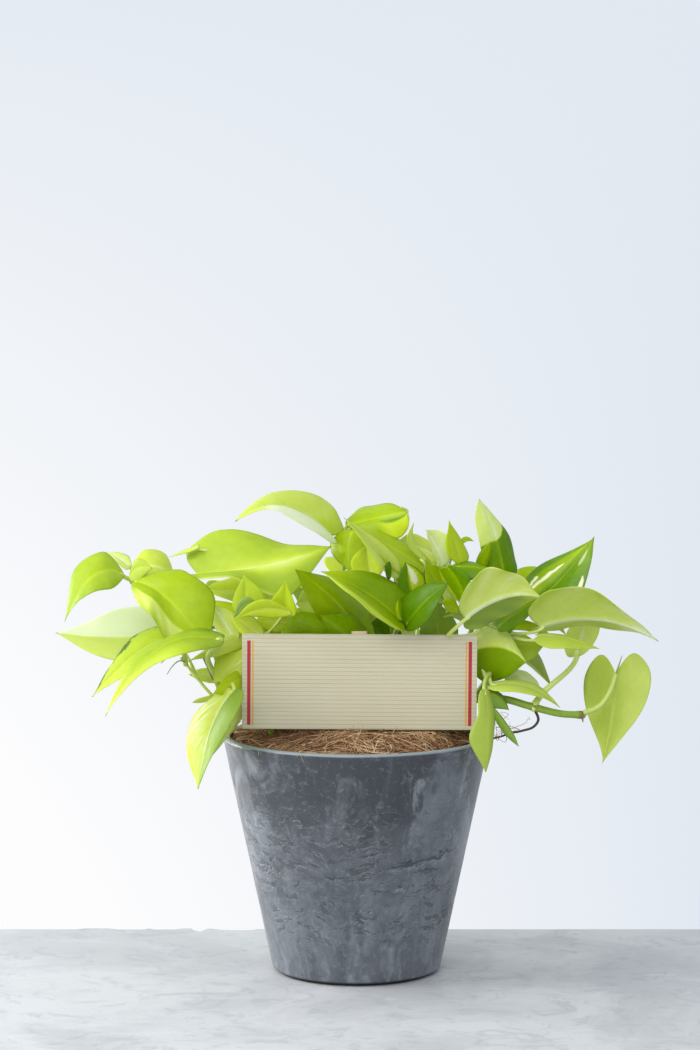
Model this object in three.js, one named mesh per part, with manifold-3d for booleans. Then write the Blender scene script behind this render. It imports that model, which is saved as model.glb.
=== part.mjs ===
// A lime pothos in a tapered round planter, with a blank wooden gift plate on a stake before the stems.
// Millimetres, +Z up. The origin is the middle of the planter's foot, and the plate faces -Y.
import * as THREE from "three";
import { mergeVertices } from "three/addons/utils/BufferGeometryUtils.js";
import Module from "manifold-3d";

const wasm = await Module();
wasm.setup();

// Planter
const POT_HEIGHT = 195.5;
const RIM_RADIUS = 110;
const BASE_RADIUS = 68.5;
const FOOT_RADIUS = 65;
const FOOT_HEIGHT = 2.2;
const EDGE_ROUND = 3.2;
const RIM_ROUND = 2.6;
const ROUND_STEPS = 2;
const WALL = 6.5;
const FLOOR = 7;
const LIP_HEIGHT = 5;
const DRAIN_RADIUS = 4.5;
const DRAIN_RING = 32;
const DRAIN_HOLES = 4;
const ROUND_SIDES = 32;

// Soil and the coconut fibre that covers it
const SOIL_TOP = 178;
const COIR_EDGE = 191.5;
const COIR_HEAP = 10;
const COIR_RELIEF = 1.6;
const COIR_WAVES = [13, 11, 17];
const COIR_RINGS = [102, 86, 46];
const GAP = 0.35;
const COIR_HOLE_GAP = 0.8;
const HOLE_SIDES = 6;

// Gift plate and its stake
const PLATE_WIDTH = 189;
const PLATE_HEIGHT = 77;
const PLATE_THICK = 3;
const PLATE_CENTRE = [2.2, -46, 244.8];
const PLATE_ROLL = THREE.MathUtils.degToRad(0.35);
const STAKE_WIDTH = 12.6;
const STAKE_THICK = 3;
const STAKE_ABOVE_PLATE = 2;
const STAKE_FOOT = 120;
const STAKE_POINT = 12;
const STAKE_TIP = 3;

// Stems: each stands upright in the soil before it bends to its leaves
const UPRIGHT = [152, 170, 188, 206];
const STEM_RADIUS = 2.8;
const STEM_SIDES = 5;
const STEM_STEP = 24;
const STEM_END = 0.985;
const PETIOLE_RADIUS = 1.5;
const PETIOLE_SIDES = 3;
const PETIOLE_RISE = 0.5;
const PETIOLE_BEND = 0.35;
const PETIOLE_SUNK = 2;
const SHORT_PETIOLE = 12;

// Blades: widest at a share of their length from the base, the base's own width, how far its lobes reach
// back and how much each half bulges
const BLADE_THICK = 0.8;
const WIDEST = 0.28;
const SHOULDER = 0.52;
const TAPER = 1.2;
const LOBE = 0.07;
const HEART_LOBE = 0.22;
const LOBE_TURN = 0.72;
const CAMBER = 0.08;
const SMALL_LEAF = 44;
const BROAD_LEAF = 60;
const ROWS = [0, 0.18, 0.46, 0.76, 1];
const ROWS_SMALL = [0, 0.34, 0.74, 1];
const COLUMNS = [-1, -0.5, 0, 0.5, 1];
const COLUMNS_NARROW = [-1, 0, 1];
const NEAR_TIP = 0.93;
const DELTA = 0.02;

const vec = (p) => new THREE.Vector3(...p);
const clamp01 = (x) => THREE.MathUtils.clamp(x, 0, 1);

// Closed solids, joined and cut
function solidOf(geometry) {
  const bare = geometry.index ? geometry.clone() : mergeVertices(geometry);
  bare.deleteAttribute("normal");
  bare.deleteAttribute("uv");
  const merged = mergeVertices(bare, 1e-3);
  const corners = merged.index.array;
  const kept = [];
  for (let i = 0; i < corners.length; i += 3) {
    const [a, b, c] = corners.slice(i, i + 3);
    if (a !== b && b !== c && c !== a) kept.push(a, b, c);
  }
  const build = (triangles) =>
    new wasm.Manifold(
      new wasm.Mesh({
        numProp: 3,
        vertProperties: new Float32Array(merged.attributes.position.array),
        triVerts: new Uint32Array(triangles),
      }),
    );
  const solid = build(kept);
  return solid.volume() > 0 ? solid : build(kept.toReversed());
}

const join = (solids) => solids.reduce((whole, next) => whole.add(next));

// The largest connected body, so that a chip cut off by a join is dropped
function mainBody(solid) {
  return solid.decompose().sort((a, b) => b.volume() - a.volume())[0];
}

function meshOf(name, solid, look) {
  const { vertProperties, triVerts, numProp, numVert } = solid.getMesh();
  const positions = new Float32Array(numVert * 3);
  for (let i = 0; i < numVert; i++) {
    positions.set(vertProperties.subarray(i * numProp, i * numProp + 3), i * 3);
  }
  const geometry = new THREE.BufferGeometry();
  geometry.setAttribute("position", new THREE.BufferAttribute(positions, 3));
  geometry.setIndex(new THREE.BufferAttribute(triVerts, 1));
  geometry.computeVertexNormals();
  const mesh = new THREE.Mesh(geometry, new THREE.MeshStandardMaterial(look));
  mesh.name = name;
  return mesh;
}

function placed(geometry, position) {
  return solidOf(geometry.translate(...position));
}

// A round piece turned about Z from a profile of [radius, height] points
function turned(profile) {
  const points = profile.map(([radius, height]) => new THREE.Vector2(radius, height));
  return new THREE.LatheGeometry(points, ROUND_SIDES).rotateX(Math.PI / 2);
}

function roundHole(x, y, radius, bottom, top) {
  const corner = radius / Math.cos(Math.PI / HOLE_SIDES);
  const hole = new THREE.CylinderGeometry(corner, corner, top - bottom, HOLE_SIDES);
  return placed(hole.rotateX(Math.PI / 2), [x, y, (bottom + top) / 2]);
}

const outerRadius = (z) => THREE.MathUtils.mapLinear(z, 0, POT_HEIGHT, BASE_RADIUS, RIM_RADIUS);
const innerRadius = (z) => outerRadius(z) - WALL;

// An edge rounded from one angle to another, in degrees, about a centre [radius, height]
function rounded([centre, height], radius, from, to) {
  const points = [];
  for (let i = 0; i <= ROUND_STEPS; i++) {
    const angle = THREE.MathUtils.degToRad(THREE.MathUtils.lerp(from, to, i / ROUND_STEPS));
    points.push([centre + radius * Math.cos(angle), height + radius * Math.sin(angle)]);
  }
  return points;
}

function buildPot() {
  const lip = POT_HEIGHT - LIP_HEIGHT;
  const edge = FOOT_HEIGHT + EDGE_ROUND;
  const crest = POT_HEIGHT - RIM_ROUND;
  const profile = [
    [0, 0],
    [FOOT_RADIUS, 0],
    [FOOT_RADIUS, FOOT_HEIGHT],
    ...rounded([outerRadius(edge) - EDGE_ROUND, edge], EDGE_ROUND, -90, 0),
    [outerRadius(lip), lip],
    ...rounded([RIM_RADIUS - RIM_ROUND, crest], RIM_ROUND, 0, 90),
    ...rounded([RIM_RADIUS - WALL + RIM_ROUND, crest], RIM_ROUND, 90, 180),
    [innerRadius(lip), lip],
    [innerRadius(FLOOR), FLOOR],
    [0, FLOOR],
  ];
  let pot = solidOf(turned(profile));
  for (let i = 0; i < DRAIN_HOLES; i++) {
    const angle = (2 * Math.PI * (i + 0.5)) / DRAIN_HOLES;
    const x = DRAIN_RING * Math.cos(angle);
    const y = DRAIN_RING * Math.sin(angle);
    pot = pot.subtract(roundHole(x, y, DRAIN_RADIUS, -1, FLOOR + 1));
  }
  return pot;
}

function buildSoil(holes) {
  const bottom = FLOOR + GAP;
  const profile = [
    [0, bottom],
    [innerRadius(bottom) - GAP, bottom],
    [innerRadius(SOIL_TOP) - GAP, SOIL_TOP],
    [0, SOIL_TOP],
  ];
  return solidOf(turned(profile)).subtract(join(holes));
}

// The fibre mat's surface: level with the rim at the wall, heaped up round the stems
function coirHeight(x, y) {
  const [across, along, slant] = COIR_WAVES;
  const edge = Math.min(1, Math.hypot(x, y) / COIR_RINGS[0]);
  const bumps = Math.sin(x / across) * Math.cos(y / along) + Math.sin((x + y) / slant) / 2;
  return COIR_EDGE + COIR_HEAP * (1 - edge ** 4) + COIR_RELIEF * bumps;
}

function buildCoir(holes) {
  const bottom = SOIL_TOP + GAP;
  const top = COIR_RINGS.map((radius) => [radius, COIR_EDGE]);
  const profile = [[0, bottom], [innerRadius(bottom) - GAP, bottom], ...top, [0, COIR_EDGE]];
  const mat = turned(profile);
  const position = mat.attributes.position;
  for (let i = 0; i < position.count; i++) {
    if (position.getZ(i) > bottom + 1) {
      position.setZ(i, coirHeight(position.getX(i), position.getY(i)));
    }
  }
  return solidOf(mat).subtract(join(holes));
}

const [plateX, plateY, plateZ] = PLATE_CENTRE;
const STAKE_Y = plateY + PLATE_THICK / 2 + GAP + STAKE_THICK / 2;

function buildStake() {
  const half = STAKE_WIDTH / 2;
  const top = plateZ + PLATE_HEIGHT / 2 + STAKE_ABOVE_PLATE;
  const outline = new THREE.Shape()
    .moveTo(-STAKE_TIP / 2, STAKE_FOOT)
    .lineTo(STAKE_TIP / 2, STAKE_FOOT)
    .lineTo(half, STAKE_FOOT + STAKE_POINT)
    .lineTo(half, top)
    .lineTo(-half, top)
    .lineTo(-half, STAKE_FOOT + STAKE_POINT);
  const stake = new THREE.ExtrudeGeometry(outline, { depth: STAKE_THICK, bevelEnabled: false });
  stake.translate(0, 0, -STAKE_THICK / 2).rotateX(Math.PI / 2);
  return placed(stake, [plateX, STAKE_Y, 0]);
}

function stakeHole(margin) {
  const bottom = STAKE_FOOT - GAP;
  const height = plateZ - bottom;
  const hole = new THREE.BoxGeometry(STAKE_WIDTH + 2 * margin, STAKE_THICK + 2 * margin, height);
  return placed(hole, [plateX, STAKE_Y, bottom + height / 2]);
}

// A leaf is given by points: its base on the petiole, the middle of its midrib and its tip, then the margin
// left and right of the midrib at 0.3 of its length. A twisted blade has two more margin points, at 0.7.
const MARGIN_AT = 0.3;
const TWIST_AT = 0.7;

// Half width along the blade, as a share of the widest: a rounded shoulder, then a long drawn-out tip
function halfWidth(u) {
  if (u < WIDEST) return SHOULDER + (1 - SHOULDER) * Math.sin((Math.PI / 2) * (u / WIDEST));
  const t = clamp01((u - WIDEST) / (1 - WIDEST));
  return (1 - t * t) ** TAPER;
}

function bladeSurface(leaf) {
  const [base, mid, tip] = leaf.points.slice(0, 3).map(vec);
  const bend = mid.clone().multiplyScalar(2).addScaledVector(base.clone().add(tip), -0.5);
  const rib = new THREE.QuadraticBezierCurve3(base, bend, tip);
  const margins = leaf.points.slice(3).map(vec);
  const spread = margins.map((point, i) => {
    const u = i < 2 ? MARGIN_AT : TWIST_AT;
    const scale = i < 2 ? 1 : 1 / halfWidth(TWIST_AT);
    return point.clone().sub(rib.getPoint(u)).multiplyScalar(scale);
  });
  const [left, right, leftEnd = left, rightEnd = right] = spread;
  const length = base.distanceTo(tip);
  const meanWidth = (left.length() + right.length()) / 2;
  const lobe = (leaf.lobe ?? LOBE) * length;
  const start = rib.getTangent(0);
  return { rib, start, length, at };

  function at(u, v) {
    const turn = clamp01((u - MARGIN_AT) / (TWIST_AT - MARGIN_AT));
    const blend = turn * turn * (3 - 2 * turn);
    const toLeft = left.clone().lerp(leftEnd, blend);
    const toRight = right.clone().lerp(rightEnd, blend);
    const up = toRight.clone().sub(toLeft).cross(rib.getTangent(u)).normalize();
    const q = Math.abs(v);
    const reach = q * halfWidth(u);
    const bulge = CAMBER * meanWidth * 4 * q * (1 - q) * halfWidth(u);
    const back = lobe * Math.sin(Math.PI * LOBE_TURN * q) * (1 - u) ** 4;
    return rib
      .getPoint(u)
      .addScaledVector(v < 0 ? toLeft : toRight, reach)
      .addScaledVector(up, bulge)
      .addScaledVector(start, -back);
  }
}

// The blade as a thin closed shell: upper face, lower face split the same way, margin and tip
function bladeGeometry(surface) {
  const small = surface.length < SMALL_LEAF;
  const rows = small ? ROWS_SMALL : ROWS;
  const columns = surface.length < BROAD_LEAF ? COLUMNS_NARROW : COLUMNS;
  const across = columns.length;
  const points = [];
  const half = BLADE_THICK / 2;
  rows.forEach((u) => {
    const single = u === 1;
    (single ? [0] : columns).forEach((v) => {
      const u0 = THREE.MathUtils.clamp(u, DELTA, NEAR_TIP);
      const v0 = THREE.MathUtils.clamp(v, -1 + DELTA, 1 - DELTA);
      const along = surface.at(u0 + DELTA, v).sub(surface.at(u0 - DELTA, v));
      const over = surface.at(u0, v0 + DELTA).sub(surface.at(u0, v0 - DELTA));
      const normal = over.cross(along).normalize();
      const middle = surface.at(u, v);
      points.push(middle.clone().addScaledVector(normal, half));
      points.push(middle.clone().addScaledVector(normal, -half));
    });
  });
  const top = (row, column) => 2 * (row * across + column);
  const last = rows.length - 1;
  const tip = top(last, 0);
  const faces = [];
  const pair = (a, b, c) => faces.push(a, b, c, a + 1, c + 1, b + 1);
  for (let row = 0; row < last - 1; row++) {
    for (let column = 0; column < across - 1; column++) {
      const a = top(row, column);
      const b = top(row, column + 1);
      const c = top(row + 1, column + 1);
      const d = top(row + 1, column);
      pair(a, b, c);
      pair(a, c, d);
    }
  }
  for (let column = 0; column < across - 1; column++) {
    pair(top(last - 1, column), top(last - 1, column + 1), tip);
  }
  const rim = [];
  for (let column = 0; column < across; column++) rim.push(top(0, column));
  for (let row = 1; row < last; row++) rim.push(top(row, across - 1));
  rim.push(tip);
  for (let row = last - 1; row > 0; row--) rim.push(top(row, 0));
  rim.forEach((a, i) => {
    const b = rim[(i + 1) % rim.length];
    faces.push(a, a + 1, b + 1, a, b + 1, b);
  });
  const geometry = new THREE.BufferGeometry().setFromPoints(points);
  geometry.setIndex(faces);
  return geometry;
}

function polygon(radius, sides) {
  const corners = [];
  for (let i = 0; i < sides; i++) {
    const angle = (2 * Math.PI * i) / sides;
    corners.push(new THREE.Vector2(radius * Math.cos(angle), radius * Math.sin(angle)));
  }
  return new THREE.Shape(corners);
}

function tube(curve, radius, sides, steps) {
  const section = polygon(radius, sides);
  return new THREE.ExtrudeGeometry(section, { extrudePath: curve, steps, bevelEnabled: false });
}

// The petiole leaves the stem rising and comes up to the blade from below and behind
function petiole(stem, leaf, surface) {
  const from = stem.getPointAt(STEM_END * leaf.at);
  const base = surface.rib.getPoint(0);
  const reach = from.distanceTo(base);
  const across = surface.at(DELTA, 1).sub(surface.at(DELTA, -1));
  const under = across.cross(surface.start).normalize();
  const rise = new THREE.Vector3(0, 0, 1).lerp(base.clone().sub(from).normalize(), PETIOLE_RISE);
  const arrive = surface.start.clone().add(under).multiplyScalar(PETIOLE_RISE);
  const curve = new THREE.CubicBezierCurve3(
    from,
    from.clone().addScaledVector(rise, PETIOLE_BEND * reach),
    base.clone().addScaledVector(arrive, -PETIOLE_BEND * reach),
    base.clone().addScaledVector(surface.start, PETIOLE_SUNK),
  );
  return tube(curve, PETIOLE_RADIUS, PETIOLE_SIDES, reach < SHORT_PETIOLE ? 1 : 2);
}

function stemCurve({ hole, path }) {
  const upright = UPRIGHT.map((z) => vec([...hole, z]));
  return new THREE.CatmullRomCurve3([...upright, ...path.map(vec)], false, "centripetal");
}

function buildVine(vine) {
  const stem = stemCurve(vine);
  const steps = Math.round(stem.getLength() / STEM_STEP);
  const parts = [solidOf(tube(stem, STEM_RADIUS, STEM_SIDES, steps))];
  for (const leaf of vine.leaves) {
    const surface = bladeSurface(leaf);
    parts.push(solidOf(bladeGeometry(surface)));
    parts.push(solidOf(petiole(stem, leaf, surface)));
  }
  return mainBody(join(parts));
}

const leaf = (at, ...points) => ({ at, points });
const heartLeaf = (at, ...points) => ({ at, points, lobe: HEART_LOBE });

// The leaves that the front view shows, stem by stem
const FRONT_VINES = [
  {
    name: "vine_far_left",
    hole: [-62, 26],
    path: [[-76, 32, 232], [-112, 32, 268], [-152, 22, 302], [-184, 6, 320]],
    leaves: [
      leaf(1, [-188, 0, 326], [-217, -11, 323], [-237, -22, 290],
        [-200, -25, 314], [-213, 11, 346], [-219, -27, 307], [-234, 1, 322]),
      leaf(1, [-183, 10, 325], [-194, 13, 335], [-204, 16, 341], [-194, 5, 328], [-192, 12, 342]),
      leaf(0.96, [-184, 14, 325], [-163, 12, 332], [-136, 8, 317], [-171, 33, 344], [-160, 2, 319]),
      leaf(1, [-185, -6, 325], [-178, -9, 331], [-167, -12, 335], [-180, -8, 338], [-175, -10, 328]),
      leaf(0.98, [-181, -9, 319], [-152, -34, 307], [-122, -43, 274],
        [-133, -25, 330], [-166, -48, 299], [-114, -34, 312], [-144, -38, 276]),
    ],
  },
  {
    name: "vine_left",
    hole: [-66, -4],
    path: [[-76, -3, 224], [-96, -6, 236], [-123, -16, 243]],
    leaves: [
      leaf(0.94, [-156, 12, 277], [-199, 2, 279], [-246, -10, 280], [-186, -16, 257], [-183, 32, 299]),
      leaf(0.98, [-146, -30, 280], [-180, -41, 267], [-213, -52, 233], [-164, -64, 262], [-177, -18, 283]),
      leaf(1, [-108, -66, 281], [-154, -84, 273], [-198, -98, 221], [-141, -106, 264], [-132, -52, 288]),
      leaf(0.9, [-109, 4, 241], [-123, 7, 243], [-138, 8, 243], [-123, -1, 238], [-122, 13, 248]),
      leaf(0.85, [-108, -22, 230], [-121, -24, 227], [-133, -26, 223], [-119, -27, 223], [-123, -18, 231]),
    ],
  },
  {
    name: "vine_left_inner",
    hole: [-36, -6],
    path: [[-38, -6, 240], [-42, -2, 272], [-50, -6, 294], [-58, -18, 306]],
    leaves: [
      leaf(0.86, [-53, 4, 290], [-101, -26, 281], [-151, -57, 253],
        [-83, -20, 272], [-78, 15, 288], [-116, -42, 271], [-116, -16, 277]),
      leaf(0.84, [-97, 6, 278], [-106, -10, 291], [-118, -27, 306], [-112, -16, 282], [-100, 2, 296]),
      leaf(0.9, [-59, 12, 303], [-92, 20, 310], [-127, 28, 311], [-87, -8, 301], [-87, 40, 320]),
      leaf(1, [-93, -60, 300], [-91, -65, 318], [-90, -70, 336], [-101, -77, 313], [-78, -53, 311]),
      leaf(1, [-65, -60, 298], [-60, -63, 312], [-57, -66, 330], [-87, -71, 304], [-46, -49, 303]),
      leaf(1, [-76, -50, 299], [-87, -52, 307], [-98, -54, 300], [-88, -56, 300], [-86, -49, 314]),
      leaf(0.95, [-75, -30, 281], [-88, -34, 289], [-100, -38, 295], [-90, -40, 285], [-86, -24, 295]),
      leaf(0.9, [-51, -14, 286], [-66, -19, 290], [-83, -24, 291], [-69, -26, 283], [-66, -7, 297]),
    ],
  },
  {
    name: "vine_front_left",
    hole: [-70, -26],
    path: [[-78, -30, 220], [-94, -36, 234], [-104, -44, 245]],
    leaves: [
      leaf(1, [-99, -64, 240], [-116, -67, 211], [-127, -70, 161], [-100, -94, 219], [-134, -48, 214]),
      leaf(0.95, [-92, -36, 237], [-104, -51, 213], [-118, -63, 185], [-91, -30, 217], [-113, -60, 216]),
      leaf(0.9, [-77, -24, 239], [-96, -30, 240], [-115, -38, 233], [-94, -27, 232], [-90, -17, 245]),
      leaf(0.94, [-80, -28, 267], [-96, -34, 258], [-115, -41, 243],
        [-85, -40, 252], [-99, -24, 267], [-102, -42, 246], [-111, -32, 256]),
    ],
  },
  {
    name: "vine_upper_left",
    hole: [-22, 26],
    path: [[-26, 32, 245], [-32, 34, 295], [-50, 22, 328], [-84, 6, 333]],
    leaves: [
      leaf(1, [-130, 0, 327], [-77, -17, 335], [-20, -29, 353],
        [-102, 14, 363], [-103, -35, 328], [-54, -2, 352], [-49, -27, 316]),
      leaf(0.7, [-17, 16, 294], [-34, 12, 303], [-50, 10, 301], [-33, -5, 288], [-31, 27, 316]),
    ],
  },
  {
    name: "vine_top",
    hole: [-6, 4],
    path: [[-10, 6, 240], [-12, 8, 290], [-10, 6, 330], [-12, 4, 350]],
    leaves: [
      leaf(1, [-21, -4, 359], [-59, -25, 385], [-98, -46, 374],
        [-43, -49, 373], [-30, 12, 391], [-75, -52, 384], [-77, -16, 392]),
      leaf(1, [-9, 2, 367], [19, -14, 376], [41, -30, 380],
        [9, 18, 384], [17, -20, 361], [30, -1, 382], [36, -25, 368]),
      leaf(0.98, [-3, -14, 364], [-7, -21, 351], [-6, -27, 332], [12, -25, 351], [-22, -6, 352]),
      leaf(0.9, [12, -33, 330], [9, -31, 342], [8, -29, 354], [-5, -37, 338], [21, -37, 339]),
    ],
  },
  {
    name: "vine_top_right",
    hole: [24, 12],
    path: [[28, 12, 240], [36, 4, 285], [48, -8, 312]],
    leaves: [
      leaf(0.97, [33, -40, 327], [14, -47, 353], [-11, -54, 379], [18, -54, 340], [31, -45, 346]),
      leaf(1, [59, -20, 330], [29, -32, 352], [-5, -42, 369], [32, -44, 334], [47, -17, 351]),
      leaf(1, [54, -34, 341], [45, -35, 353], [46, -36, 373], [49, -35, 352], [42, -36, 352]),
      leaf(0.97, [66, 2, 341], [50, 4, 349], [34, 6, 354], [48, -6, 339], [52, 8, 358]),
      leaf(1, [71, -14, 335], [65, -18, 352], [56, -22, 365], [61, -26, 348], [74, -16, 357]),
      leaf(0.95, [41, -26, 312], [36, -29, 324], [31, -31, 336], [31, -34, 322], [42, -23, 324]),
    ],
  },
  {
    name: "vine_centre",
    hole: [8, -10],
    path: [[14, -10, 232], [24, -18, 262], [34, -32, 289]],
    leaves: [
      leaf(0.8, [8, 2, 273], [-19, -21, 309], [-50, -46, 336], [-26, -23, 287], [8, 15, 304]),
      leaf(0.7, [14, -34, 257], [-5, -37, 279], [-29, -41, 298], [-15, -31, 260], [4, -27, 290]),
      leaf(1, [37, -58, 294], [7, -65, 319], [-29, -72, 337], [12, -89, 306], [33, -42, 324]),
      leaf(1, [39, -62, 292], [53, -71, 311], [73, -78, 329], [39, -52, 316], [58, -85, 302]),
      leaf(0.8, [37, -12, 268], [26, -9, 279], [12, -6, 288], [22, -24, 266], [29, -10, 294]),
      leaf(0.9, [28, 14, 291], [18, 13, 293], [9, 12, 294], [19, 9, 290], [19, 18, 295]),
      leaf(0.55, [-7, -25, 267], [-38, -28, 281], [-68, -32, 267], [-42, -36, 247], [-36, -23, 299]),
    ],
  },
  {
    name: "vine_centre_right",
    hole: [46, -8],
    path: [[54, -10, 235], [60, -18, 275], [66, -28, 302], [70, -32, 316]],
    leaves: [
      leaf(0.9, [48, -37, 307], [45, -41, 324], [41, -45, 340], [38, -44, 322], [54, -33, 323]),
      leaf(0.95, [72, -26, 313], [63, -29, 326], [55, -31, 337], [59, -38, 318], [70, -22, 332]),
      leaf(1, [85, -38, 337], [80, -34, 354], [74, -30, 375], [72, -44, 350], [90, -25, 347]),
      leaf(0.95, [81, -14, 338], [89, -17, 349], [94, -20, 356], [86, -12, 351], [92, -19, 344]),
      leaf(1, [79, -46, 338], [94, -49, 338], [109, -52, 335], [91, -34, 341], [94, -54, 328]),
      leaf(1, [72, -56, 339], [83, -60, 323], [86, -64, 303], [90, -65, 331], [72, -48, 323]),
      leaf(0.7, [68, -24, 266], [65, -31, 288], [61, -38, 311], [51, -40, 284], [82, -18, 285]),
      leaf(0.85, [82, -44, 301], [75, -46, 306], [68, -48, 310], [74, -51, 302], [77, -45, 312]),
      leaf(0.85, [79, -34, 305], [73, -36, 315], [68, -38, 323], [70, -40, 312], [77, -35, 318]),
    ],
  },
  {
    name: "vine_right_upper",
    hole: [66, 12],
    path: [[76, 10, 238], [90, 0, 272], [100, -10, 298]],
    leaves: [
      leaf(1, [120, -16, 322], [114, -15, 356], [99, -14, 390],
        [101, -22, 347], [130, -4, 337], [96, -15, 378], [119, -5, 367]),
      leaf(1, [98, -26, 331], [103, -28, 343], [108, -30, 356], [98, -27, 345], [107, -27, 340]),
      leaf(1, [87, -70, 299], [118, -79, 317], [146, -88, 318], [112, -52, 295], [100, -90, 340]),
      leaf(0.95, [114, -36, 288], [131, -38, 302], [150, -38, 312], [124, -26, 304], [132, -48, 293]),
      leaf(0.95, [121, 22, 310], [140, 24, 320], [158, 26, 325], [135, 34, 328], [142, 13, 309]),
    ],
  },
  {
    name: "vine_right",
    hole: [74, -14],
    path: [[84, -8, 228], [102, -4, 256], [122, -14, 276]],
    leaves: [
      leaf(1, [141, -22, 303], [166, -32, 328], [191, -42, 362],
        [143, -4, 329], [174, -52, 307], [169, -21, 347], [187, -51, 338]),
      leaf(1, [148, -44, 289], [195, -55, 296], [241, -66, 280], [175, -18, 286], [166, -75, 326]),
      leaf(0.98, [146, -54, 283], [167, -59, 282], [194, -66, 274], [160, -38, 282], [158, -77, 276]),
      leaf(0.92, [116, -8, 274], [133, -16, 272], [152, -24, 271], [128, 2, 280], [132, -22, 257]),
      leaf(0.9, [124, -18, 250], [138, -24, 243], [150, -30, 229], [141, -12, 247], [128, -31, 237]),
    ],
  },
  {
    name: "vine_trailing_right",
    hole: [58, -26],
    path: [[66, -28, 214], [98, -40, 226], [122, -50, 220], [148, -52, 219],
      [166, -50, 213], [184, -45, 212]],
    leaves: [
      heartLeaf(1, [210, -26, 248], [207, -30, 213], [199, -34, 176], [185, -11, 232], [239, -23, 236]),
      leaf(0.8, [179, -14, 262], [185, -7, 282], [192, 0, 307], [171, 2, 276], [198, -10, 282]),
    ],
  },
  {
    name: "vine_front_right",
    hole: [84, -6],
    path: [[94, -12, 224], [104, -26, 242], [107, -40, 250]],
    leaves: [
      leaf(0.92, [95, -20, 267], [117, -40, 272], [136, -60, 262], [109, -5, 287], [110, -32, 243]),
      leaf(1, [102, -66, 241], [105, -71, 211], [102, -76, 176], [115, -60, 218], [96, -77, 222]),
      leaf(1, [109, -60, 226], [120, -63, 211], [130, -66, 195], [121, -61, 215], [115, -62, 206]),
      leaf(0.98, [109, -52, 243], [137, -57, 242], [163, -63, 226], [132, -41, 246], [127, -70, 240]),
      leaf(1, [104, -56, 238], [113, -59, 234], [122, -62, 224], [114, -52, 238], [106, -60, 227]),
    ],
  },
];

// The stems behind, whose leaves reach out round the back: azimuth of the leaf, how far its base stands
// from the stem's end, its height above that end, its length, how far its tip droops and how it leans
const REAR_WIDTH = 0.34;
const REAR_ARCH = 0.13;
const REAR_FOLD = 14;
const REAR_SPREAD = 62;
const LOWEST_REAR = 0.7;
const REAR_VINES = [
  {
    name: "vine_rear_left",
    hole: [-58, 52],
    path: [[-66, 60, 225], [-72, 68, 246]],
    leaves: [
      [150, 30, 26, 88, 24, 8],
      [112, 34, 10, 96, 40, -6],
      [176, 26, 34, 74, 12, 14],
      [84, 38, 30, 84, 18, 4],
      [134, 22, 52, 66, 4, -10],
    ],
  },
  {
    name: "vine_rear",
    hole: [-12, 52],
    path: [[-12, 62, 228], [-10, 74, 252]],
    leaves: [
      [92, 36, 20, 98, 34, 6],
      [66, 32, 46, 82, 12, -8],
      [112, 34, 50, 78, 16, 10],
      [82, 20, 62, 70, 2, -4],
    ],
  },
  {
    name: "vine_rear_right",
    hole: [36, 46],
    path: [[42, 56, 230], [50, 66, 256]],
    leaves: [
      [86, 36, 12, 92, 38, -8],
      [48, 34, 26, 90, 26, 8],
      [20, 36, 46, 76, 10, 12],
      [66, 24, 58, 72, 6, -6],
    ],
  },
  {
    name: "vine_side_right",
    hole: [72, 32],
    path: [[82, 38, 222], [94, 42, 240]],
    leaves: [
      [34, 26, 16, 70, 30, 6],
      [4, 24, 34, 58, 14, -8],
      [36, 32, 44, 76, 16, 10],
      [350, 26, 58, 56, 8, 4],
    ],
  },
];

function rearLeaf(end, [azimuth, reach, height, length, droop, lean]) {
  const { degToRad, mapLinear } = THREE.MathUtils;
  const up = new THREE.Vector3(0, 0, 1);
  const out = new THREE.Vector3(Math.cos(degToRad(azimuth)), Math.sin(degToRad(azimuth)), 0);
  const right = out.clone().cross(up);
  const base = vec(end).addScaledVector(out, reach).addScaledVector(up, height);
  const tip = base.clone().addScaledVector(out, length * Math.cos(degToRad(droop)));
  tip.addScaledVector(up, -length * Math.sin(degToRad(droop)));
  const arch = (u) => base.clone().lerp(tip, u).addScaledVector(up, 4 * u * (1 - u) * REAR_ARCH * length);
  const margin = (side) => {
    const angle = degToRad(REAR_FOLD + side * lean);
    const reachOut = REAR_WIDTH * length;
    const point = arch(MARGIN_AT).addScaledVector(right, side * reachOut * Math.cos(angle));
    return point.addScaledVector(up, reachOut * Math.sin(angle));
  };
  const points = [base, arch(0.5), tip, margin(-1), margin(1)].map((point) => point.toArray());
  return leaf(mapLinear(height, 0, REAR_SPREAD, LOWEST_REAR, 1), ...points);
}

for (const vine of REAR_VINES) {
  vine.leaves = vine.leaves.map((row) => rearLeaf(vine.path.at(-1), row));
}

const VINES = [...FRONT_VINES, ...REAR_VINES];

function stemHoles(margin, bottom) {
  const holes = VINES.map(({ hole: [x, y] }) => roundHole(x, y, STEM_RADIUS + margin, bottom, plateZ));
  return [...holes, stakeHole(margin)];
}

const board = new THREE.BoxGeometry(PLATE_WIDTH, PLATE_THICK, PLATE_HEIGHT);
const plate = placed(board.rotateY(PLATE_ROLL), PLATE_CENTRE);
const soil = buildSoil(stemHoles(GAP, UPRIGHT[0] - GAP));
const coir = buildCoir(stemHoles(COIR_HOLE_GAP, SOIL_TOP));

const STONE = { color: 0x646971, roughness: 0.45, metalness: 0 };
const EARTH = { color: 0x3a2a1e, roughness: 0.95, metalness: 0 };
const FIBRE = { color: 0x9c7a58, roughness: 0.9, metalness: 0 };
const PALE_WOOD = { color: 0xdad4b2, roughness: 0.6, metalness: 0 };
const FOLIAGE = { color: 0xaacf30, roughness: 0.4, metalness: 0 };

const plant = new THREE.Group();
VINES.forEach((vine) => plant.add(meshOf(vine.name, buildVine(vine), FOLIAGE)));

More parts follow.
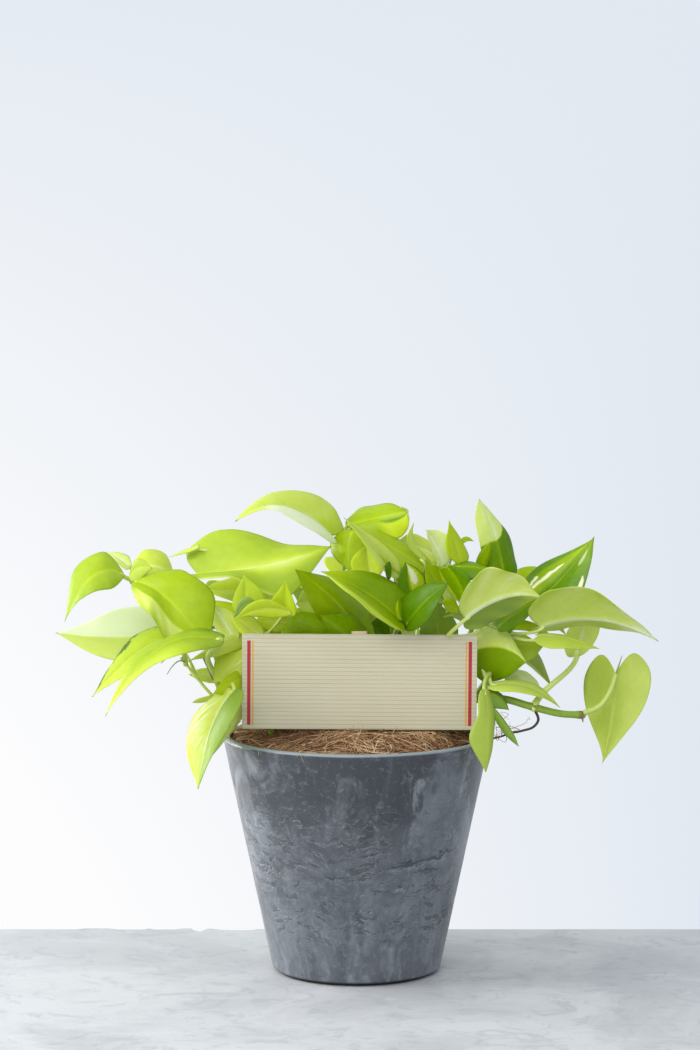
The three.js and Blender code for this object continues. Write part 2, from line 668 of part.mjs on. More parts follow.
const part = new THREE.Group();
part.add(meshOf("pot", buildPot(), STONE));
part.add(meshOf("soil", soil, EARTH));
part.add(meshOf("coir_mulch", coir, FIBRE));
part.add(meshOf("gift_plate", plate, PALE_WOOD));
part.add(meshOf("plate_stake", buildStake(), PALE_WOOD));
part.add(plant);

export default part;
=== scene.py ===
import math

import bpy
import numpy as np
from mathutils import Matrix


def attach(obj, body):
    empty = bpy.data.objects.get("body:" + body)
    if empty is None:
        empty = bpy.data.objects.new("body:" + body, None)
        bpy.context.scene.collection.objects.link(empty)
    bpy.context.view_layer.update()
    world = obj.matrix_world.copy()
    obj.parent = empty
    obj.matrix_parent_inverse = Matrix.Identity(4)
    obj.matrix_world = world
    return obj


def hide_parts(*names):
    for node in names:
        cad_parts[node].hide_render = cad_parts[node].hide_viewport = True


bl_info = {
    "name": "Potted Lime Pothos",
    "version": (1, 0, 0),
    "blender": (4, 5, 0),
    "location": "View3D > Sidebar > Pothos",
    "description": "A lime pothos in a slate planter with coir mulch and a blank gift plate",
    "category": "Object",
}

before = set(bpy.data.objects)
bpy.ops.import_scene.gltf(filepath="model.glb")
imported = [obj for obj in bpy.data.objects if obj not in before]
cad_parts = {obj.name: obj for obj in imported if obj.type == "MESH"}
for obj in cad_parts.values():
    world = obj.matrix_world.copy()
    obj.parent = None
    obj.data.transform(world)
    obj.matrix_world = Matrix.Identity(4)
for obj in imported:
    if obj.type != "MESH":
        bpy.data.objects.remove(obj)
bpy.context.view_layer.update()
MM = 0.001

# Planter, as in the solids, in millimetres
POT_HEIGHT = 195.5
RIM_RADIUS = 110
BASE_RADIUS = 68.5
FOOT_RADIUS = 65
FOOT_HEIGHT = 2.2
EDGE_ROUND = 3.2
RIM_ROUND = 2.6
WALL = 6.5
FLOOR = 7
LIP_HEIGHT = 5
DRAIN_HOLES = 4
DRAIN_RADIUS = 4.5
DRAIN_RING = 32
PLANTER_SIDES = 360
WALL_ROWS = 150
INSIDE_ROWS = 24

# Mulch: height at the wall, heap, waves, radius, underside, grid, broad clumps, hollows and loose fibres
COIR_EDGE = 191.5
COIR_HEAP = 10
COIR_RELIEF = 1.6
COIR_RADIUS = 102
COIR_BOTTOM = 178.35
COIR_RINGS = 84
COIR_SIDES = 240
CLUMP_SIZE = 17
CLUMP_SEED = 8
CLUMP_HEIGHT = 2.2
HOLLOW_DEPTH = 4
# Its two hollows, where the fibres are darkened as painted shade: middle, reach across and along, and share of
# the depth
COIR_HOLLOWS = [(-68, -56, 24, 16, 1), (84, -48, 14, 16, 0.8)]
FIBRE_STEPS = 10
FIBRE_SPREAD = 99
FIBRE_EDGE = 100.6
STEM_CLEARANCE = 4.2
UNDER_PLATE = 204
STRAY_FIBRES = 16
STRAY_STEPS = 12

# Plate and stake: the stake's foot is drawn in to a narrow tip over the length of its point
PLATE_SIZE = (189, 77, 3)
PLATE_CENTRE = (2.2, -46, 244.8)
PLATE_ROLL = math.radians(0.35)
STAKE_WIDTH = 12.6
STAKE_Y = -42.65
STAKE_FOOT = 120
STAKE_POINT = 12
STAKE_TIP = 3
STAKE_TOP = 285.3
STAKE_THICK = 3
BOARD_EDGE = 0.3
BOARD_CORNER = 0.6
LINE_PITCH = 3.3
# The stripes, from the plate's end inwards, and their ends, from its middle up
RED_STRIPE = (4.1, 6.9)
GOLD_STRIPE = (8, 9.2)
STRIPE_ENDS = (-35.3, 33.2)

# Foliage: heights of a stem's upright start, and the share of a stem that its last stalk leaves at
UPRIGHT = (152, 170, 188, 206)
STEM_END = 0.985
# Blade: where it is widest, how fast its tip thins out, the reach and width of its lobes, how far each half
# bulges, and the shares of the midrib that its margin points stand at
WIDEST = 0.28
TAPER = 1.2
LOBE = 0.12
PLAIN = (1.0, 1.0, TAPER, TAPER, LOBE)
LOBE_TURN = 0.58
CAMBER = 0.08
MARGIN_AT = 0.3
TWIST_AT = 0.7
# Leaf behind the plant: half width and arch as shares of its length, upward fold in degrees, and the lowest
# place on the stem with the height over which the places spread
REAR_WIDTH = 0.34
REAR_ARCH = 0.13
REAR_FOLD = 14
LOWEST_REAR = 0.7
REAR_SPREAD = 62
# Half of a blade's thickness at its margin, and what the middle has more
HALF_THICK = (0.13, 0.12)
# Finer cell of a crisp leaf, depth of the side veins, height of a plain and of a proud midrib, its paleness
CRISP_CELL = 0.55
VEIN_DEPTH = 0.06
RIB_HEIGHT = 0.7
PROUD_RIB = 1.5
PALE_RIB = 0.14
# Length under which a leaf's stalk is thin, and the reach of a joint's swelling and of its brown ring
SMALL_LEAF = 40
JOINT_REACH = 3.2
RING_REACH = 1.3

# Air root under the trailing stem: the places that it passes, and how many rootlets tangle round it
AIR_ROOT = [
    (142, -52, 225), (146, -52.5, 215), (142, -52, 209), (134, -51, 206), (124, -49, 203.5),
    (114, -45, 199.5), (106, -42, 197.5), (98, -39, 195),
]
ROOTLETS = 9

# Studio: the floor's half width, its depth in front of the planter and its thickness in millimetres, and the
# camera's place in metres
FLOOR_SIZE = (1700, 1500, 40)
FLOOR_EDGE = 3
CORNER_STEPS = 6
CAMERA_PLACE = (-0.0054, -2.6795, 0.6159)
CAMERA_TILT = math.radians(84.7)
CAMERA_LENS = 113.14
SENSOR = 36
EDGE_SHARE = 1.9

# Each stem: name, hole in the soil, path above it and leaves. Each leaf: name, tone from 0 dark to 1.1 pale,
# place on the stem, then base, middle and tip of the midrib, left and right margin, and for a twisted blade
# the left and right margin nearer the tip
STEMS = [
    ("far_left", (-62, 26), [(-76, 32, 232), (-112, 32, 268), (-152, 22, 302), (-184, 6, 320)], [
        ("round_far", 0.54, 1, (-190, 0, 326), (-215, -11, 326), (-237, -22, 290),
         (-202, -25, 317), (-209, 11, 344), (-221, -27, 311), (-234, 1, 322)),
        ("small_pale", 1.05, 1, (-185, 14, 331), (-195, 20, 337), (-206, 26, 343),
         (-191, 8, 331), (-189, 26, 340)),
        ("dome", 0.92, 0.96, (-183, 12, 326), (-165, 14, 332), (-151, 22, 320),
         (-175, 30, 344), (-169, -2, 320), (-156, 34, 338), (-155, 8, 311)),
        ("curl", 0.72, 1, (-185, -5, 324), (-178, -8, 333), (-166, -13, 333),
         (-181, -4, 339), (-174, -12, 325)),
        ("big_round", 0.55, 0.98, (-181, -9, 322), (-152, -34, 310), (-121, -43, 272),
         (-136, -25, 331), (-168, -48, 302), (-114, -34, 306), (-145, -40, 273)),
    ]),
    ("left", (-66, -4), [(-76, -3, 222), (-99, -10, 216), (-116, -16, 228), (-142, -26, 261)], [
        ("long_pale", 1.28, 0.9, (-156, 12, 277), (-199, 2, 276), (-246, -10, 280),
         (-186, -16, 257), (-182, 32, 297)),
        ("yellow", 0.68, 0.98, (-146, -30, 280), (-179, -41, 266), (-213, -52, 233),
         (-164, -64, 262), (-174, -18, 283)),
        ("large_droopy", 0.52, 0.6, (-108, -66, 281), (-158, -84, 276), (-199, -98, 224),
         (-136, -106, 276), (-135, -52, 288), (-173, -100, 256), (-183, -78, 261)),
        ("small_left", 1.0, 0.7, (-109, 4, 241), (-123, 7, 243), (-138, 8, 243),
         (-123, -1, 238), (-122, 13, 248)),
        ("low_left", 1.0, 0.66, (-108, -22, 230), (-121, -24, 227), (-134, -26, 225),
         (-120, -27, 226), (-123, -18, 229)),
    ]),
    ("left_inner", (-36, -6), [(-38, -6, 240), (-42, -2, 272), (-50, -6, 294), (-58, -18, 306)], [
        ("long_edge_on", 0.98, 0.86, (-53, 4, 290), (-96, -26, 281), (-135, -50, 262),
         (-83, -20, 272), (-78, 15, 288), (-117, -42, 264), (-116, -16, 271)),
        ("small_tip", 1.05, 0.84, (-99, -26, 276), (-107, -20, 290), (-118, -14, 304),
         (-116, -8, 285), (-97, -24, 294)),
        ("behind_wide", 0.8, 0.9, (-59, 12, 303), (-92, 20, 310), (-127, 28, 311),
         (-87, -8, 301), (-87, 40, 320)),
        ("star", 0.7, 1, (-89, -52, 298), (-89, -55, 317), (-90, -58, 335),
         (-100, -50, 308), (-73, -60, 313)),
        ("pointed", 0.64, 1, (-56, -66, 300), (-56, -68, 315), (-57, -70, 331),
         (-72, -64, 305), (-48, -72, 305)),
        ("pointed_low", 0.8, 0.97, (-51, -70, 303), (-75, -73, 307), (-98, -75, 298),
         (-71, -72, 300), (-71, -75, 315)),
        ("grey_fold", 0.35, 1, (-78, -63, 309), (-88, -65, 310), (-98, -66, 299),
         (-88, -64, 303), (-88, -65, 316)),
        ("yellow_low", 0.9, 0.95, (-76, -34, 280), (-89, -34, 289), (-102, -34, 297),
         (-92, -38, 282), (-85, -30, 297)),
        ("olive_low", 0.82, 0.9, (-51, -14, 286), (-66, -19, 290), (-83, -24, 291),
         (-69, -26, 283), (-66, -7, 297)),
    ]),
    ("front_left", (-70, -26), [(-78, -30, 220), (-94, -36, 234), (-104, -44, 245)], [
        ("hanging", 1.0, 1, (-99, -64, 240), (-116, -67, 211), (-127, -70, 161),
         (-100, -94, 219), (-134, -48, 214)),
        ("hanging_back", 1.1, 0.95, (-92, -36, 237), (-104, -51, 213), (-118, -63, 185),
         (-91, -30, 217), (-113, -60, 216)),
        ("sliver", 0.7, 0.9, (-85, -30, 247), (-101, -52, 245), (-115, -68, 238),
         (-94, -46, 235), (-97, -40, 253)),
        ("beside_plate", 0.92, 0.94, (-80, -28, 267), (-96, -34, 258), (-115, -41, 243),
         (-85, -40, 252), (-106, -24, 268), (-102, -42, 246), (-115, -32, 257)),
    ]),
    ("upper_left", (-22, 26), [(-26, 32, 245), (-32, 34, 295), (-50, 22, 328), (-84, 6, 333)], [
        ("large_top", 0.58, 1, (-130, 0, 327), (-77, -17, 335), (-20, -29, 353),
         (-102, 14, 363), (-103, -35, 328), (-54, -2, 352), (-49, -27, 316)),
        ("behind_gap", 1.0, 0.7, (-17, 16, 294), (-34, 12, 303), (-50, 10, 301),
         (-33, -5, 288), (-31, 27, 316)),
        ("pale_tip", 0.85, 0.8, (-130, 6, 349), (-141, 8, 345), (-154, 8, 340),
         (-136, 4, 345), (-136, 10, 348)),
    ]),
    ("top", (-6, 4), [(-10, 6, 240), (-12, 8, 290), (-10, 6, 330), (-12, 4, 350)], [
        ("top_left", 0.94, 1, (-21, -4, 359), (-59, -25, 385), (-98, -46, 374),
         (-43, -49, 373), (-30, 12, 391), (-75, -52, 384), (-77, -16, 392)),
        ("top_centre", 0.5, 1, (-9, 2, 367), (19, -14, 375), (41, -30, 381),
         (8, 18, 381), (17, -20, 361), (29, -6, 385), (36, -26, 360)),
        ("bright_face", 0.54, 0.98, (-3, -14, 364), (-7, -21, 351), (-6, -27, 332),
         (12, -25, 351), (-22, -6, 352)),
        ("inner_lime", 0.88, 0.9, (12, -33, 330), (9, -31, 342), (8, -29, 354),
         (-5, -37, 338), (21, -37, 339)),
    ]),
    ("top_right", (24, 12), [(28, 12, 240), (36, 4, 285), (48, -8, 312)], [
        ("grey_blade", 0.88, 0.97, (33, -40, 327), (14, -47, 353), (-11, -54, 379),
         (18, -54, 340), (31, -45, 346)),
        ("behind_blade", 0.66, 1, (59, -20, 330), (29, -32, 352), (-5, -42, 369),
         (32, -44, 334), (47, -17, 351)),
        ("unfurling", 0.66, 1, (54, -34, 341), (45, -35, 353), (46, -36, 373),
         (49, -35, 352), (42, -36, 352)),
        ("lime_back", 1.0, 0.97, (66, 2, 341), (50, 4, 349), (34, 6, 354),
         (48, -6, 339), (52, 8, 358)),
        ("pale_fold", 1.12, 1, (71, -16, 335), (65, -18, 352), (56, -16, 365),
         (61, -14, 347), (75, -26, 358)),
        ("inner_grey", 0.4, 0.95, (41, -26, 312), (36, -29, 324), (31, -31, 336),
         (31, -34, 322), (42, -23, 324)),
    ]),
    ("centre", (8, -10), [(14, -10, 232), (24, -18, 262), (34, -32, 289)], [
        ("dark_centre", 0.5, 0.8, (8, 2, 273), (-19, -21, 309), (-50, -46, 336),
         (-26, -23, 287), (8, 15, 304)),
        ("low_front", 0.32, 0.7, (14, -34, 257), (-5, -37, 279), (-29, -41, 298),
         (-15, -31, 260), (4, -27, 290)),
        ("centre_blade", 0.35, 1, (37, -58, 294), (7, -65, 319), (-29, -72, 337),
         (12, -89, 306), (33, -42, 324)),
        ("dark_upright", 0.16, 1, (39, -62, 292), (53, -71, 311), (73, -78, 329),
         (39, -52, 316), (58, -85, 302)),
        ("very_dark", 0.12, 0.8, (37, -12, 268), (26, -9, 279), (12, -6, 288),
         (22, -24, 266), (29, -10, 294)),
        ("back_lime", 0.8, 0.9, (28, 14, 291), (18, 13, 293), (9, 12, 294),
         (19, 9, 290), (19, 18, 295)),
        ("dark_dome", 0.4, 0.55, (-7, -25, 267), (-38, -28, 281), (-68, -32, 267),
         (-42, -36, 247), (-36, -23, 299)),
        ("spear", 0.5, 0.92, (34, -66, 297), (32, -68, 305), (33, -69, 314),
         (31, -67, 303), (34, -70, 303)),
        ("dark_curl", 0.05, 0.9, (27, -50, 329), (27, -52, 338), (21, -54, 338),
         (23, -53, 335), (27, -51, 341)),
    ]),
    ("centre_right", (46, -8), [(54, -10, 235), (60, -18, 275), (66, -28, 302), (70, -32, 316)], [
        ("cream_marked", 0.22, 0.9, (46, -37, 305), (44, -41, 324), (39, -45, 342),
         (33, -44, 319), (57, -33, 323)),
        ("olive_inner", 0.56, 0.95, (72, -26, 313), (63, -29, 326), (55, -31, 337),
         (59, -38, 318), (70, -22, 332)),
        ("upright_tip", 0.72, 1, (85, -38, 337), (80, -34, 354), (74, -30, 375),
         (72, -44, 350), (90, -25, 347)),
        ("thin_behind", 0.5, 0.95, (77, -14, 348), (85, -17, 355), (95, -20, 356),
         (85, -16, 358), (85, -18, 353)),
        ("side_flap", 0.3, 1, (79, -46, 338), (94, -49, 338), (109, -52, 335),
         (91, -34, 341), (94, -54, 328)),
        ("dark_pale_edge", 0.34, 1, (72, -56, 339), (83, -60, 323), (86, -64, 303),
         (90, -65, 331), (72, -48, 323)),
        ("olive_shade", 0.38, 0.7, (68, -24, 266), (65, -31, 288), (61, -38, 311),
         (51, -40, 284), (82, -18, 285)),
        ("small_bright", 0.62, 0.85, (82, -44, 301), (75, -46, 306), (68, -48, 310),
         (74, -51, 302), (77, -45, 312)),
        ("pale_strip", 1.0, 0.85, (79, -34, 305), (73, -36, 315), (68, -38, 323),
         (70, -40, 312), (77, -35, 318)),
    ]),
    ("right_upper", (66, 12), [(76, 10, 238), (90, 0, 272), (100, -10, 298)], [
        ("two_tone", 0.2, 1, (120, -16, 322), (114, -15, 356), (99, -14, 390),
         (101, -22, 347), (130, -4, 337), (96, -15, 378), (119, -5, 367)),
        ("inner_strip", 0.42, 1, (98, -26, 331), (103, -28, 343), (108, -30, 356),
         (98, -27, 345), (107, -27, 340)),
        ("folded_pale", 0.98, 1, (87, -70, 299), (118, -79, 317), (146, -88, 318),
         (112, -52, 295), (100, -90, 340)),
        ("dark_under", 0.28, 0.95, (114, -36, 288), (131, -38, 302), (150, -38, 312),
         (124, -26, 304), (132, -48, 293)),
        ("behind_right", 0.54, 0.95, (121, 22, 310), (140, 24, 320), (158, 26, 325),
         (135, 34, 328), (142, 13, 309)),
    ]),
    ("right", (74, -14), [(84, -8, 228), (102, -4, 256), (122, -14, 276)], [
        ("variegated", 0.2, 1, (141, -22, 303), (166, -32, 328), (191, -42, 362),
         (143, -4, 329), (174, -52, 307), (169, -21, 347), (187, -51, 338)),
        ("large_right", 0.98, 1, (148, -44, 289), (195, -55, 296), (241, -66, 280),
         (175, -18, 286), (166, -75, 326)),
        ("under_right", 0.85, 0.98, (146, -54, 283), (167, -59, 282), (194, -66, 274),
         (160, -38, 282), (158, -77, 276)),
        ("olive_right", 0.68, 0.92, (116, -8, 274), (133, -16, 272), (152, -24, 271),
         (128, 2, 280), (132, -22, 257)),
        ("lime_low", 1.1, 0.9, (124, -18, 250), (138, -24, 243), (150, -30, 229),
         (141, -12, 247), (128, -31, 237)),
    ]),
    ("trailing_right", (58, -26), [(66, -28, 214), (94, -39, 229), (118, -47, 231),
     (139, -52, 226), (163, -52, 220), (182, -47, 218)], [
        ("heart", 0.76, 1, (210, -26, 248), (207, -30, 213), (199, -34, 176),
         (185, -11, 232), (239, -23, 236)),
        ("tip_leaf", 1.0, 0.8, (179, -14, 262), (185, -7, 282), (192, 0, 307),
         (171, 2, 276), (198, -10, 282)),
    ]),
    ("front_right", (84, -6), [(94, -12, 224), (104, -26, 242), (107, -40, 250)], [
        ("pale_right", 0.98, 0.92, (95, -20, 267), (117, -40, 272), (136, -60, 262),
         (109, -5, 287), (110, -32, 243)),
        ("hanging_right", 0.6, 1, (103, -62, 240), (105, -71, 212), (103, -76, 176),
         (111, -60, 222), (97, -71, 224), (108, -70, 193), (91, -76, 198)),
        ("thin_right", 0.34, 1, (109, -60, 226), (120, -63, 211), (130, -66, 195),
         (120, -61, 214), (116, -62, 208)),
        ("narrow_low", 0.85, 0.98, (109, -52, 243), (137, -57, 242), (163, -63, 226),
         (132, -41, 246), (127, -70, 240)),
        ("dark_low", 0.28, 1, (104, -56, 238), (113, -59, 234), (122, -62, 224),
         (114, -52, 238), (106, -60, 227)),
    ]),
]

# Single leaves: how round the base is and how fast the tip thins out, left and right, and the lobes' reach
OUTLINES = {
    "round_far": (0.1, 0.2, 1.7, 1.5, 0.0),
    "small_pale": (0.5, 0.5, 1.4, 1.4, 0.0),
    "dome": (0.7, 0.7, 0.7, 0.7, 0.0),
    "curl": (0.8, 0.8, 0.9, 0.9, 0.05),
    "big_round": (0.7, 0.6, 1.0, 1.3, 0.03),
    "long_pale": (1.0, 1.0, 1.3, 1.5, 0.05),
    "yellow": (1.0, 1.0, 1.3, 1.5, 0.05),
    "large_droopy": (0.8, 0.9, 1.4, 1.4, 0.03),
    "star": (0.4, 0.4, 1.9, 1.9, 0.0),
    "pointed": (0.3, 0.3, 1.9, 1.7, 0.0),
    "pointed_low": (0.5, 0.5, 1.3, 1.3, 0.0),
    "grey_fold": (0.9, 0.9, 0.8, 0.8, 0.0),
    "top_centre": (0.6, 0.6, 1.0, 0.5, 0.0),
    "variegated": (1.0, 1.0, 1.6, 1.2, 0.08),
    "heart": (1.0, 1.0, 1.8, 1.4, 0.25),
    "hanging_right": (1.0, 1.0, 1.0, 1.1, 0.05),
    "upright_tip": (0.6, 0.6, 1.6, 1.6, 0.0),
    "grey_blade": (0.6, 0.6, 1.4, 1.4, 0.0),
    "two_tone": (0.8, 0.8, 1.1, 1.1, 0.0),
    "rear": (1.0, 1.0, 1.4, 1.4, 0.12),
}
# Leaves that show a duller, more matt face, and how much
DULL = {
    "small_pale": 0.8, "curl": 0.7, "long_pale": 0.5, "grey_blade": 1.0, "behind_blade": 0.2,
    "pale_fold": 0.35, "under_right": 0.8, "narrow_low": 1.0, "tip_leaf": 0.6, "lime_low": 0.6,
    "thin_right": 0.6, "dark_low": 0.5, "olive_shade": 0.5, "inner_grey": 0.6, "grey_fold": 1.0,
    "unfurling": 0.5, "behind_gap": 0.3, "hanging_back": 0.4, "pointed_low": 0.1, "top_left": 0.45,
    "star": 0.3, "large_top": 0.45, "yellow": 0.4, "round_far": 0.3, "large_droopy": 0.25,
    "hanging_right": 1.0, "pale_tip": 0.8, "big_round": 0.12, "pointed": 0.1, "olive_right": 0.4,
}
# Leaves with crisp markings, leaves with a proud midrib, and how much stronger a leaf's ripple is
CRISP = ("variegated", "cream_marked", "two_tone", "yellow")
PROUD = ("folded_pale", "large_right", "heart", "under_right")
RIPPLES = {"folded_pale": 2.6, "beside_plate": 2.5, "dark_upright": 2, "large_right": 1.8}
# How much paler the midrib is where it stands out
PALE_RIBS = {"folded_pale": 0.55, "large_right": 0.34, "under_right": 0.34}
# The variegated leaf's streaks: strength, raggedness, start, end, place across, half width and bend
CREAM_STREAKS = [
    (1, 0.02, 0.08, 0.62, -0.42, 0.07, 0.16), (1, 0.04, 0.16, 0.34, -0.62, 0.05),
    (1, 0.03, 0.36, 0.6, 0.84, 0.07), (0.5, 0, 0.68, 0.86, 0.4, 0.12),
]
# Where the two-tone leaf turns from dark to pale: places along it and across it
TWO_TONE_BORDER = [
    (0, -1.3), (0.33, -1.15), (0.42, -0.6), (0.5, 0.0), (0.6, 0.45), (0.7, 0.85), (0.74, 1.25), (1, 1.3),
]
# Depth of the side veins where they show, and how much thicker a stalk is
VEINS = {"hanging": 0.2, "folded_pale": 0.16, "large_right": 0.14}
STALKS = {"yellow": 1.1, "large_droopy": 1.7, "folded_pale": 1.2, "heart": 1.2, "tip_leaf": 1.7}
# Stalks that take a longer way round: the places that they pass
VIA = {
    "folded_pale": [(97, -30, 283), (74, -50, 283), (79, -64, 291)],
    "heart": [(196, -43, 225), (205, -38, 237)],
    "large_droopy": [(-109, -22, 232), (-116, -30, 250), (-120, -44, 265)],
}
# Small things on single stems: the places that they pass, first and last radius, tone, brownness
TRIFLES = {
    "left": [
        ([(-124, -36, 264), (-121, -33, 257), (-116, -28, 245)], 1.0, 1.5, 0.2, 0.9),
        ([(-153, -40, 250), (-149, -38, 256), (-144, -34, 260), (-138, -25, 258)], 0.25, 0.6, 0.45, 0.0),
    ],
    "top": [([(36, -27, 384), (41, -30, 382), (41, -31, 377)], 0.9, 0.25, 0.6, 0.1)],
    "trailing_right": [
        ([(210, -27, 248), (215, -29, 264)], 0.9, 0.25, 0.5, 0.1),
        ([(181, -49, 220), (182, -51, 213)], 1.7, 0.4, 0.25, 0.85),
    ],
}
# The stems behind, with their leaves as azimuth, reach, height, length, droop, lean and tone
REAR_STEMS = [
    ("rear_left", (-58, 52), [(-66, 60, 225), (-72, 68, 246)], [
        (150, 30, 26, 88, 24, 8, 0.7), (112, 34, 10, 96, 40, -6, 0.55), (176, 26, 34, 74, 12, 14, 0.8),
        (84, 38, 30, 84, 18, 4, 0.5), (134, 22, 52, 66, 4, -10, 0.85),
    ]),
    ("rear", (-12, 52), [(-12, 62, 228), (-10, 74, 252)], [
        (92, 36, 20, 98, 34, 6, 0.6), (66, 32, 46, 82, 12, -8, 0.75), (112, 34, 50, 78, 16, 10, 0.65),
        (82, 20, 62, 70, 2, -4, 0.8),
    ]),
    ("rear_right", (36, 46), [(42, 56, 230), (50, 66, 256)], [
        (86, 36, 12, 92, 38, -8, 0.6), (48, 34, 26, 90, 26, 8, 0.5), (20, 36, 46, 76, 10, 12, 0.7),
        (66, 24, 58, 72, 6, -6, 0.8),
    ]),
    ("side_right", (72, 32), [(82, 38, 222), (94, 42, 240)], [
        (34, 26, 16, 70, 30, 6, 0.55), (4, 24, 34, 58, 14, -8, 0.65), (36, 32, 44, 76, 16, 10, 0.7),
        (350, 26, 58, 56, 8, 4, 0.75),
    ]),
]


# ---------------------------------------------------------------- Shapes

def smooth(low, high, x):
    """0 up to low, 1 from high and 3t^2 - 2t^3 between them, with t the share of the way."""
    t = np.clip((x - low) / (high - low), 0, 1)
    return t * t * (3 - 2 * t)


def unit(vectors):
    """Each vector divided by its length."""
    return vectors / np.maximum(np.linalg.norm(vectors, axis=-1, keepdims=True), 1e-9)


def noise(points, seed, octaves=1):
    """Smooth noise from about -1 to 1: seeded values on the corners of unit cells, blended across each cell
    with 3t^2 - 2t^3, each further octave at twice the frequency and half the height."""
    values = np.random.default_rng(seed).uniform(-1, 1, (32, 32, 32))
    total = 0
    for octave in range(octaves):
        place = points * 2.03**octave + 7.3 * octave
        cell = np.floor(place).astype(int)
        t = place - cell
        t = t * t * (3 - 2 * t)
        for corner in np.ndindex(2, 2, 2):
            share = np.prod(np.where(corner, t, 1 - t), axis=-1)
            i, j, k = np.moveaxis((cell + corner) % 32, -1, 0)
            total = total + share * values[i, j, k] * 0.5**octave
    return total


def grid_faces(rows, columns, closed=False):
    """Two triangles for each cell of a grid of points numbered row by row. They face along the column
    direction crossed with the row direction. closed joins the last column to the first."""
    i = np.arange(rows - 1)[:, None]
    j = np.arange(columns if closed else columns - 1)[None, :]
    k = (j + 1) % columns
    a, b = i * columns + j, i * columns + k
    return np.stack([a, b, b + columns, a, b + columns, a + columns], axis=-1).reshape(-1, 3)


def fan_faces(ring, pole, back=False):
    """A triangle from the pole to each side of a closed ring of points."""
    ring = np.asarray(ring)
    faces = np.stack([ring, np.roll(ring, -1), np.full(len(ring), pole)], axis=-1)
    return faces[:, ::-1] if back else faces


def closed_faces(rows, sides):
    """Rings of points joined row by row and closed by a pole before the first ring and one behind the last.
    The poles are numbered after the rings."""
    ring = np.arange(sides)
    return np.concatenate([
        grid_faces(rows, sides, closed=True),
        fan_faces(ring, rows * sides, back=True),
        fan_faces(ring + (rows - 1) * sides, rows * sides + 1),
    ])


class Shape:
    """Gathers the surfaces of one piece, in millimetres, and puts them into one mesh."""

    def __init__(self):
        self.points, self.faces, self.looks, self.values = [], [], [], []
        self.count = 0

    def add(self, points, faces, look=0, flat=False, uv=None, **values):
        points = np.asarray(points, float).reshape(-1, 3)
        faces = np.asarray(faces)
        self.points.append(points)
        self.faces.append(faces + self.count)
        self.looks.append(np.stack([np.full(len(faces), look), np.full(len(faces), flat)], axis=-1))
        self.values.append((len(points), uv, values))
        self.count += len(points)

    def gathered(self, name, width=1):
        parts = []
        for count, uv, values in self.values:
            value = uv if name == "uv" else values.get(name, 0.0)
            value = np.zeros((count, width)) if value is None else np.asarray(value, float)
            parts.append(np.broadcast_to(value.reshape(-1, width), (count, width)))
        return np.concatenate(parts)

    def plain(self, name):
        """An object of the bare surfaces."""
        mesh = bpy.data.meshes.new(name)
        mesh.from_pydata((np.concatenate(self.points) * MM).tolist(), [], np.concatenate(self.faces).tolist())
        thing = bpy.data.objects.new(name, mesh)
        bpy.context.scene.collection.objects.link(thing)
        return thing

    def piece(self, name, materials, finish, *nodes, values=()):
        """The finished object, riding on the only body, in place of the CAD nodes."""
        mesh = bpy.data.meshes.new(name)
        points, faces = np.concatenate(self.points) * MM, np.concatenate(self.faces)
        looks = np.concatenate(self.looks).astype(int)
        mesh.vertices.add(len(points))
        mesh.vertices.foreach_set("co", points.ravel())
        mesh.loops.add(faces.size)
        mesh.loops.foreach_set("vertex_index", faces.ravel())
        mesh.polygons.add(len(faces))
        mesh.polygons.foreach_set("loop_start", np.arange(0, faces.size, 3))
        mesh.polygons.foreach_set("loop_total", np.full(len(faces), 3))
        mesh.polygons.foreach_set("material_index", np.ascontiguousarray(looks[:, 0]))
        mesh.update()
        mesh.polygons.foreach_set("use_smooth", looks[:, 1] == 0)
        uv = self.gathered("uv", 2)[faces.ravel()]
        mesh.uv_layers.new(name="uv").uv.foreach_set("vector", uv.astype(np.float32).ravel())
        for value in values:
            layer = mesh.attributes.new(value, "FLOAT", "POINT")
            layer.data.foreach_set("value", self.gathered(value).astype(np.float32).ravel())
        for material in materials:
            mesh.materials.append(material)
        mesh.validate()
        piece = bpy.data.objects.new(name, mesh)
        bpy.context.scene.collection.objects.link(piece)
        return settle(piece, finish, *nodes)


def settle(piece, finish, *nodes):
    """Ties a piece to the only body and hides the CAD nodes that it stands for. Its finish is not used."""
    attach(piece, "root")
    if nodes:
        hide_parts(*nodes)
    return piece


def arc_lengths(path):
    """Distance along a path at each of its points."""
    steps = np.linalg.norm(np.diff(path, axis=0), axis=1)
    return np.concatenate([[0], np.cumsum(steps)])


def at_share(path, share):
    """The points at these shares of the path's length."""
    along = arc_lengths(path)
    wanted = np.asarray(share) * along[-1]
    return np.stack([np.interp(wanted, along, path[:, k]) for k in range(3)], axis=-1)


def smooth_path(points, steps=24):
    """Centripetal curve through the points: a cubic between each pair, whose end directions come from the
    neighbours, weighted by the square roots of the distances."""
    points = np.array(points, float)
    ends = np.concatenate([[2 * points[0] - points[1]], points, [2 * points[-1] - points[-2]]])
    t = np.linspace(0, 1, steps, endpoint=False)[:, None]
    pieces = []
    for a, b, c, d in zip(ends, ends[1:], ends[2:], ends[3:]):
        before, here, after = (max(np.linalg.norm(q - p), 1e-6) ** 0.5 for p, q in ((a, b), (b, c), (c, d)))
        leave = ((b - a) / before - (c - a) / (before + here) + (c - b) / here) * here
        arrive = ((c - b) / here - (d - b) / (here + after) + (d - c) / after) * here
        bend = 3 * (c - b) - 2 * leave - arrive
        pieces.append(b + t * leave + t**2 * bend + t**3 * (2 * (b - c) + leave + arrive))
    return np.concatenate(pieces + [points[-1:]])


